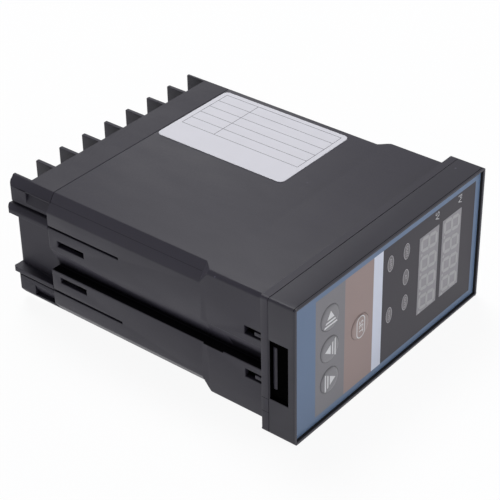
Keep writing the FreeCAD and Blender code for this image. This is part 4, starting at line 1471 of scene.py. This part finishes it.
        def corner(back: float, side: float) -> tuple[float, float]:
            """A point that far behind the tip, on one side.

            Args:
                back: The distance behind the tip.
                side: The distance to the side.

            Returns:
                The point, in (X, Z).
            """
            half = side * base / 2 * back / tall
            along = tall / 2 - back
            return (centre[0] + ahead[0] * along + beside[0] * half,
                    centre[1] + ahead[1] * along + beside[1] * half)

        corners = [corner(start, 1), corner(end, 1), corner(end, -1), corner(start, -1)]
        return corners if start else corners[1:] + [corner(0.0, 0.0)]

    def display(self, name: str, print_white: bpy.types.Material) -> None:
        """One window with its four unlit digits and its legend.

        Args:
            name: The display's name.
            print_white: What the legend is dressed in.
        """
        box = Box.of(f"display_{name}")
        centre = box.middle
        half = (box.size.x / 2 - self.window_margin[0], box.size.z / 2 - self.window_margin[1])
        corners = [(centre.x + a * half[0], centre.z + b * half[1])
                   for a, b in ((-1, -1), (1, -1), (1, 1), (-1, 1))]
        thick = (0, self.print_thick, 0)
        form = Form().plate(self.flat(corners, self.face - self.print_thick), thick)
        fit(form.object(f"window_{name}", self.window), Body.CHASSIS, ())
        pitch = half[1] * 2 / self.digits
        top = centre.z + pitch * (self.digits - 1) / 2
        first = (centre.x, self.face - self.print_thick * 2, top)
        row = Layout(first, self.digits, (0, 0, -pitch))
        digits = self.grid.make(f"digits_{name}", self.digit(), self.segments, row)
        fit(digits, Body.CHASSIS, ())
        place = self.spot(centre.x + self.legend_across, centre.z + self.legend_up)
        legend = Form().text(name.upper(), self.letter, place, self.print_thick)
        fit(legend.object(f"legend_{name}", print_white), Body.CHASSIS, ())

    def digit(self) -> Form:
        """One leaning seven-segment digit and its point, round the origin.

        Returns:
            The digit.
        """
        form = Form()
        tall, wide, bar, lean, gap = 7.8, 4.2, 1.15, 0.12, 0.08
        thick = (0, self.print_thick, 0)

        def segment(start: tuple[float, float], end: tuple[float, float]) -> None:
            """A six-sided bar between two points (across, up) of the digit.

            Args:
                start: The point that the bar starts at.
                end: The point that it ends at.
            """
            way = Vector(end) - Vector(start)
            way.normalize()
            side = Vector((-way.y, way.x)) * bar / 2
            first, last = Vector(start) + way * gap, Vector(end) - way * gap
            outline = [first, first + way * bar / 2 + side, last - way * bar / 2 + side, last,
                       last - way * bar / 2 - side, first + way * bar / 2 - side]
            form.plate([(p.y, 0.0, -(p.x + p.y * lean)) for p in outline], thick)

        for level in (-1, 0, 1):
            segment((-wide / 2, level * tall / 2), (wide / 2, level * tall / 2))
        for side in (-1, 1):
            for level in (-1, 1):
                segment((side * wide / 2, 0.0), (side * wide / 2, level * tall / 2))
        radius, beside = self.digit_point, wide / 2 + self.digit_point_gap
        point = [(-tall / 2 + radius * math.cos(math.pi * step / 6),
                  -(beside + radius * math.sin(math.pi * step / 6))) for step in range(12)]
        form.plate([(p[0], 0.0, p[1]) for p in point], thick)
        return form

    def lamps(self) -> None:
        """The five oval lamp windows with their outlines and marks."""
        fills, lines, marks = Form(), Form(), Form()
        thick = (0, self.print_thick, 0)
        inner = (self.lamp_half[0] - self.lamp_rim, self.lamp_half[1] - self.lamp_rim)
        for number, words in enumerate(("OUT1", "AT", "OUT2", "ALM1", "ALM2"), 1):
            middle = Box.of(f"indicator_lamp_{number}").middle
            centre = (middle.x, middle.z)
            fills.plate(self.flat(self.oval(centre, inner), self.face - self.print_thick), thick)
            lines.ring(self.flat(self.oval(centre, self.lamp_half), self.face - self.print_thick),
                       self.flat(self.oval(centre, inner), self.face - self.print_thick), thick)
            place = self.spot(*centre)
            place.translation.y -= self.print_thick
            marks.text(words, 1.5, place, self.print_thick)
        fit(fills.object("lamp_windows", Ink("lamp_fill", self.tones.lamp, 0.34).make()),
            Body.CHASSIS, ())
        line = Ink("lamp_line", self.tones.lamp_line).make()
        fit(lines.object("lamp_outlines", line), Body.CHASSIS, ())
        fit(marks.object("lamp_marks", line), Body.CHASSIS, ())


# ------------------------------------------------------------------ the boards


@dataclass
class Boards:
    """The circuit boards, their headers, and the small parts and joints on them."""

    grid: ShapeGrid
    header_pitch: float = 2.54
    pin: float = 0.64
    pin_reach: float = 1.6
    joint_inset: float = 1.2
    chip: Place = (2.0, 1.25, 0.5)
    cap: float = 0.4
    pad: float = 0.3
    pad_height: float = 0.18
    capacitor_leads: float = 2.5

    def build(self) -> None:
        """Dresses the boards and adds what is soldered to them."""
        plain = (1.0, 1.0, 1.0)
        self.solder = Metal("solder", (0.48, 0.48, 0.5), 0.34, plain, 0.8).make()
        self.gold = Metal("gilt_pin", (0.75, 0.55, 0.22), 0.25, plain, 0.6).make()
        self.film = Moulding("resistor_film", (0.012, 0.012, 0.014), 0.35, dust=0.0).make()
        self.ceramic = Moulding("ceramic_tan", (0.30, 0.19, 0.11), 0.4, dust=0.0).make()
        for name in ("display_board", "power_board", "control_board", "option_board"):
            mask = SolderMask(f"{name}_mask", Box.of(name)).make()
            if name == "display_board":
                dress(name, mask)
            else:
                soften(name, mask, Body.CHASSIS, 0.1)
        black = Moulding("header_black", (0.02, 0.02, 0.022), 0.45, dust=0.0).make()
        for name in ("power_header", "control_header", "option_header"):
            soften(name, black, Body.CHASSIS, 0.15)
        steel = Metal("switch_tin", (0.55, 0.55, 0.54), 0.36, (4.0, 1.0, 1.0)).make()
        for name in ("shift", "down", "up", "set"):
            dress(f"tact_switch_{name}", steel)
            dress(f"plunger_{name}", black)
        dress("board_screws", Metal("board_screw_zinc", (0.6, 0.6, 0.6), 0.3).make())
        unlit = Ink("module_face", (0.16, 0.16, 0.165), 0.35).make()
        for name in ("display_pv", "display_sv"):
            dress(name, unlit)
        lens = Ink("lamp_lens", (0.45, 0.45, 0.42), 0.3).make()
        for number in range(1, 6):
            dress(f"indicator_lamp_{number}", lens)
        self.headers()
        self.control_side()
        self.power_side()

    def repeat(self, name: str, shape: Form, material: bpy.types.Material, layout: Layout) -> None:
        """Repeats a shape over a layout, as a piece of the chassis."""
        fit(self.grid.make(name, shape, material, layout), Body.CHASSIS)

    def chips(self, name: str, body: bpy.types.Material, layout: Layout) -> None:
        """A field of surface-mounted resistors or capacitors, standing on +Z.

        Args:
            name: The field's name.
            body: What their bodies are dressed in.
            layout: Where their feet stand.
        """
        long, wide, tall = self.chip
        end, half = long / 2, wide / 2
        block = Form().block((self.cap - end, -half, 0.02), (end - self.cap, half, tall), 0.06)
        ends = Form()
        for side in (-1, 1):
            for near, far, top, rounding in ((end - self.cap, end, tall + 0.02, 0.08),
                                             (end, end + self.pad, self.pad_height, 0.07)):
                low, high = sorted((side * near, side * far))
                ends.block((low, -half, 0.0), (high, half, top), rounding)
        self.repeat(f"{name}_bodies", block, body, layout)
        self.repeat(f"{name}_ends", ends, self.solder, layout)

    def joints(self, name: str, layout: Layout, up: float) -> None:
        """Soldered joints of wired parts, each a dome with the end of its lead.

        Args:
            name: The field's name.
            layout: Where they stand.
            up: 1 if they stand on +Z, or -1 if they hang under a board.
        """
        outline = ((0.0, 0.0), (0.95, 0.0), (0.8, 0.12), (0.5, 0.42), (0.34, 0.8), (0.3, 1.15),
                   (0.0, 1.2))
        dome = Form().turned([(radius, up * level) for radius, level in outline], (0, 0, 0),
                             Axis.Z, 16)
        self.repeat(name, dome, self.solder, layout)

    def headers(self) -> None:
        """The gilt pins of the three headers and their joints."""
        half, reach = self.pin / 2, self.pin_reach
        for name, board, up in (("power_header", "power_board", -1),
                                ("control_header", "control_board", 1),
                                ("option_header", "option_board", -1)):
            box, sheet = Box.of(name), Box.of(board)
            count = int(box.size.x / self.header_pitch)
            start = box.middle.x - self.header_pitch * (count - 1) / 2
            face = sheet.low.z if up < 0 else sheet.high.z
            step = (self.header_pitch, 0, 0)
            pin = Form().block((-half, 0.0, -half), (half, reach, half), 0.12)
            pin.block((-half * 0.96, reach - self.pin, -box.size.z / 2),
                      (half * 0.96, reach - 0.02, half * 0.9), 0.1)
            self.repeat(f"{name}_pins", pin, self.gold,
                        Layout((start, box.high.y - 0.05, box.middle.z), count, step))
            self.joints(f"{name}_joints",
                        Layout((start, box.high.y + self.joint_inset, face), count, step), up)

    def control_side(self) -> None:
        """Small parts on the control board's upper face, and its chips' leads."""
        board = Box.of("control_board")
        front, top = board.low.y, board.high.z
        self.chips("left_resistors", self.film,
                   Layout((-38.0, front + 8.0, top), 5, (3.6, 0, 0), 18, (0, 3.9, 0), 0.35, 3))
        self.chips("right_resistors", self.film,
                   Layout((6.0, front + 8.0, top), 9, (3.8, 0, 0), 9, (0, 3.7, 0), 0.45, 5))
        self.chips("rear_capacitors", self.ceramic,
                   Layout((-14.0, front + 50.0, top), 7, (3.8, 0, 0), 7, (0, 3.9, 0), 0.4, 8))
        processor, amplifier = Box.of("microcontroller"), Box.of("input_amplifier")
        self.leads("microcontroller", processor, 11, 1.1, True)
        self.leads("input_amplifier", amplifier, 7, 1.27, False)
        apart = self.capacitor_leads
        for number in (1, 2, 3):
            middle = Box.of(f"filter_capacitor_{number}").middle
            pair = Layout((middle.x - apart / 2, middle.y, top), 2, (apart, 0, 0))
            self.joints(f"filter_joints_{number}", pair, 1)

    def leads(self, name: str, box: Box, count: int, pitch: float, all_round: bool) -> None:
        """The gull-wing leads of a chip.

        Args:
            name: The chip's name.
            box: Its box.
            count: How many leads a side has.
            pitch: The distance between them.
            all_round: Whether all four sides have them, or only the front and rear.
        """
        for side in (-1, 1):
            self.lead_row(name, "front" if side < 0 else "rear", box, count, pitch, side, 1)
            if all_round:
                self.lead_row(name, "left" if side < 0 else "right", box, count, pitch, side, 0)

    def lead_row(self, name: str, edge: str, box: Box, count: int, pitch: float, side: int,
                 out: int) -> None:
        """One side's leads.

        Args:
            name: The chip's name.
            edge: The side's name.
            box: The chip's box.
            count: How many leads there are.
            pitch: The distance between them.
            side: -1 for the side of lower coordinates, or 1.
            out: The axis that the leads point along, 0 for X or 1 for Y.
        """
        half, along = 0.2, 1 - out
        lead = Form()
        for reach, tall, rounding in ((1.0, 0.15, 0.03), (0.35, 0.6, 0.05)):
            low, high = Vector((0.0, 0.0, 0.0)), Vector((0.0, 0.0, tall))
            low[out], high[out] = sorted((0.0, side * reach))
            low[along], high[along] = -half, half
            lead.block(low, high, rounding)
        first = Vector((0.0, 0.0, box.low.z))
        first[out] = box.low[out] if side < 0 else box.high[out]
        first[along] = box.middle[along] - pitch * (count - 1) / 2
        step = Vector((0.0, 0.0, 0.0))
        step[along] = pitch
        self.repeat(f"{name}_leads_{edge}", lead, self.solder, Layout(first, count, step))

    def power_side(self) -> None:
        """The joints under the power and option boards, and small parts beside the relays."""
        power, option = Box.of("power_board"), Box.of("option_board")
        self.joints("power_joints", Layout((-36.0, power.low.y + 10.0, power.low.z),
                                           9, (9.0, 0, 0), 8, (0, 8.6, 0), 0.35, 4), -1)
        self.joints("option_joints", Layout((-32.0, option.low.y + 6.0, option.low.z),
                                            10, (7.0, 0, 0), 4, (0, 8.0, 0), 0.4, 6), -1)
        self.chips("option_resistors", self.film,
                   Layout((-34.0, option.low.y + 6.0, option.high.z),
                          3, (0, 4.2, 0), 2, (3.8, 0, 0), 0.2, 7))
        self.chips("power_resistors", self.film,
                   Layout((-38.0, power.low.y + 36.0, power.high.z),
                          14, (5.2, 0, 0), 3, (0, 4.2, 0), 0.3, 9))


# ------------------------------------------------------------------ parts on the boards


@dataclass
class PowerParts:
    """Transformer, relays, capacitors and chips."""

    grid: ShapeGrid
    capacitors: tuple[str, ...] = ("bulk_capacitor", "filter_capacitor_1", "filter_capacitor_2",
                                   "filter_capacitor_3")

    def build(self) -> None:
        """Dresses and details the parts on the boards."""
        soften("transformer_core", Moulding("ferrite", (0.045, 0.045, 0.05), 0.6, 0.3, 0.02).make(),
               Body.CHASSIS, 0.3)
        soften("transformer_bobbin", Winding("winding_tape", (0.55, 0.38, 0.04), 0.9, 1).make(),
               Body.CHASSIS, 0.4)
        soften("film_capacitor", Moulding("capacitor_epoxy", (0.42, 0.24, 0.05), 0.4, 0.8).make(),
               Body.CHASSIS, 0.9)
        blue = Moulding("relay_case", (0.02, 0.06, 0.17), 0.45, 0.4).make()
        dark = Moulding("relay_dark", (0.03, 0.03, 0.033), 0.45, 0.4).make()
        soften("output_relay", dark, Body.CHASSIS, 0.5)
        for number in (1, 2):
            soften(f"alarm_relay_{number}", blue, Body.CHASSIS, 0.5)
        soften("fuse", Moulding("fuse_case", (0.03, 0.03, 0.032), 0.4).make(), Body.CHASSIS, 0.3)
        soften("varistor", Moulding("varistor_epoxy", (0.03, 0.09, 0.3), 0.35, 1.2, 0.03).make(),
               Body.CHASSIS, 0.9)
        chip = Moulding("chip_epoxy", (0.02, 0.02, 0.022), 0.55, 0.2).make()
        for name in ("microcontroller", "input_amplifier"):
            soften(name, chip, Body.CHASSIS, 0.15)
            self.first_pin(name)
        aluminium = Metal("can_aluminium", (0.72, 0.72, 0.73), 0.3, (1.0, 1.0, 1.0), 0.5).make()
        vent_shade = Ink("vent_shadow", (0.05, 0.05, 0.055), 0.6).make()
        for name in self.capacitors:
            self.can(name, aluminium, vent_shade)

    def first_pin(self, name: str) -> None:
        """The round dimple that marks a chip's first lead.

        Args:
            name: The chip's name.
        """
        box = Box.of(name)
        dot = Form().turned([(0.0, 0.005), (0.5, 0.005), (0.5, -0.05), (0.0, -0.05)],
                            (box.low.x + 1.4, box.low.y + 1.4, box.high.z), Axis.Z, 24)
        fit(dot.object(f"{name}_dimple", Ink(f"{name}_dimple", (0.05, 0.05, 0.052), 0.3).make()),
            Body.CHASSIS)

    def can(self, name: str, aluminium: bpy.types.Material, vent_shade: bpy.types.Material) -> None:
        """An electrolytic capacitor: beaded sleeve, bare top and the cross scored in it, as a thin
        dark plate of painted shade.

        Args:
            name: The capacitor's name.
            aluminium: What its top is dressed in.
            vent_shade: What the cross is dressed in, the painted shade of its grooves.
        """
        box = Box.of(name)
        centre = (box.middle.x, box.middle.y, 0.0)
        radius = box.size.x / 2
        standing = box.low.z < 20.0
        foot, top = (box.low.z, box.high.z) if standing else (box.high.z, box.low.z)
        way = 1.0 if standing else -1.0
        profile = [(0.0, foot), (radius * 0.86, foot), (radius, foot + way * 0.5),
                   (radius, foot + way * 1.3), (radius * 0.93, foot + way * 1.75),
                   (radius, foot + way * 2.2), (radius, top - way * 0.5), (radius * 0.9, top),
                   (radius * 0.78, top), (radius * 0.78, top - way * 0.2), (0.0, top - way * 0.2)]
        sleeve = Sleeve(f"{name}_sleeve", (box.middle.x, box.middle.y)).make()
        can = Form().turned(profile, centre, Axis.Z, 48).object(f"{name}_can", sleeve)
        fit(can, Body.CHASSIS, (name,))
        lid = Form().turned([(0.0, top - way * 0.08), (radius * 0.72, top - way * 0.08),
                             (radius * 0.77, top - way * 0.14), (radius * 0.77, top - way * 0.3),
                             (0.0, top - way * 0.3)], centre, Axis.Z, 48)
        fit(lid.object(f"{name}_lid", aluminium), Body.CHASSIS)
        level = top - way * 0.07
        low, high = sorted((level, level - way * 0.03))
        # The scored cross is a thin dark plate over the top: painted shade of the grooves.
        cross = Form()
        for across, along in ((0.5, 0.07), (0.07, 0.5)):
            reach = Vector((radius * across, radius * along, 0.0))
            cross.block(Vector((*centre[:2], low)) - reach, Vector((*centre[:2], high)) + reach)
        fit(cross.object(f"{name}_vent", vent_shade), Body.CHASSIS)


# ------------------------------------------------------------------ the studio


@dataclass
class Studio:
    """White sweep, soft lights and the camera."""

    aim: Colour = (0.303, -2.429, 19.951)
    distance: float = 523.0
    azimuth: float = -50.41
    elevation: float = 33.57
    roll: float = -1.07
    lens: float = 118.84
    floor_half: float = 3000.0
    sky_gloss: float = 0.3
    sky_light: float = 0.12
    floor_glow: float = 0.9
    floor_level: float = -5.0

    def build(self) -> None:
        """Makes all of it."""
        bpy.context.scene.view_settings.view_transform = "Standard"
        self.world()
        self.floor()
        self.light("overhead", (650.0, 1100.0, 2500.0), 1200.0, 45.0)
        self.light("rear", (500.0, 520.0, 200.0), 240.0, 0.25)
        self.light("front", (250.0, -1000.0, 350.0), 450.0, 2.9)
        self.light("low", (-900.0, 350.0, 30.0), 400.0, 0.8)
        self.camera()

    def world(self) -> None:
        """Even white surroundings, dimmer as light than as background."""
        world = bpy.data.worlds.new("studio")
        world.use_nodes = True
        tree = world.node_tree
        tree.nodes.clear()
        output = tree.nodes.new("ShaderNodeOutputWorld")
        lit, seen = tree.nodes.new("ShaderNodeBackground"), tree.nodes.new("ShaderNodeBackground")
        lit.inputs["Color"].default_value = (0.93, 0.95, 1.0, 1.0)
        lit.inputs["Strength"].default_value = self.sky_light
        seen.inputs["Color"].default_value = (1.0, 1.0, 1.0, 1.0)
        seen.inputs["Strength"].default_value = 1.0
        path = tree.nodes.new("ShaderNodeLightPath")
        bare = Wire(tree, path.outputs["Is Camera Ray"])
        shown = bare | Wire(tree, path.outputs["Is Transmission Ray"])
        shown = shown | Wire(tree, path.outputs["Is Glossy Ray"]) * self.sky_gloss
        blend = tree.nodes.new("ShaderNodeMixShader")
        tree.links.new(shown.socket, blend.inputs[0])
        tree.links.new(lit.outputs[0], blend.inputs[1])
        tree.links.new(seen.outputs[0], blend.inputs[2])
        tree.links.new(blend.outputs[0], output.inputs[0])
        bpy.context.scene.world = world

    def floor(self) -> None:
        """A pale floor that keeps a faint shadow."""
        graph = Graph("floor_white")
        paint = graph.noise(60.0, 2.0)
        graph.feed(base_color=graph.mix(paint, (0.86, 0.86, 0.87), (0.9, 0.9, 0.91)), roughness=0.9,
                   emission_color=(0.95, 0.96, 1.0), emission_strength=0.3)
        glow = graph.node("ShaderNodeEmission", {},
                          {"Color": (1.0, 1.0, 1.0, 1.0), "Strength": 1.0})
        path = graph.node("ShaderNodeLightPath", {}, {})
        shown = graph.wire(path, "Is Camera Ray") | graph.wire(path, "Is Transmission Ray")
        graph.cover((shown | graph.wire(path, "Is Glossy Ray")) * self.floor_glow, glow)
        half = self.floor_half
        corners = [(-half, -half, 0.0), (half, -half, 0.0), (half, half, 0.0), (-half, half, 0.0)]
        floor = Form().plate(corners, (0, 0, self.floor_level)).object("floor", graph.material)

    def light(self, name: str, place: Point, size: float, power: float) -> None:
        """A square soft light that faces the controller.

        Args:
            name: The light's name.
            place: Where it hangs.
            size: Its side's length.
            power: Its power, in watts.
        """
        data = bpy.data.lights.new(name, "AREA")
        data.size = size * METRE
        data.energy = power
        lamp = bpy.data.objects.new(name, data)
        way = Vector(self.aim) - Vector(place)
        lamp.location = Vector(place) * METRE
        lamp.rotation_euler = way.to_track_quat("-Z", "Y").to_euler()
        bpy.context.scene.collection.objects.link(lamp)

    def camera(self) -> None:
        """The camera, that far from its aim and at those angles."""
        data = bpy.data.cameras.new("camera")
        data.lens = self.lens
        data.sensor_width = 36.0
        data.clip_start, data.clip_end = 0.01, 20.0
        camera = bpy.data.objects.new("camera", data)
        turn, rise = math.radians(self.azimuth), math.radians(self.elevation)
        way = Vector((-math.sin(turn) * math.cos(rise), math.cos(turn) * math.cos(rise),
                      -math.sin(rise)))
        camera.location = (Vector(self.aim) - way * self.distance) * METRE
        level = way.to_track_quat("-Z", "Y").to_matrix()
        tilt = level @ Matrix.Rotation(math.radians(self.roll), 3, "Z")
        camera.rotation_euler = tilt.to_euler()
        bpy.context.scene.collection.objects.link(camera)
        bpy.context.scene.camera = camera


# ------------------------------------------------------------------ all of it


def main() -> None:
    """Builds the controller and its studio."""
    logging.basicConfig(level=logging.INFO, format="%(name)s: %(message)s")
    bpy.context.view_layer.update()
    Studio().build()
    grid = ShapeGrid()
    for assembly in (Housing(grid), FrontPanel(grid), Boards(grid), PowerParts(grid)):
        assembly.build()


if __name__ == "__main__":
    main()
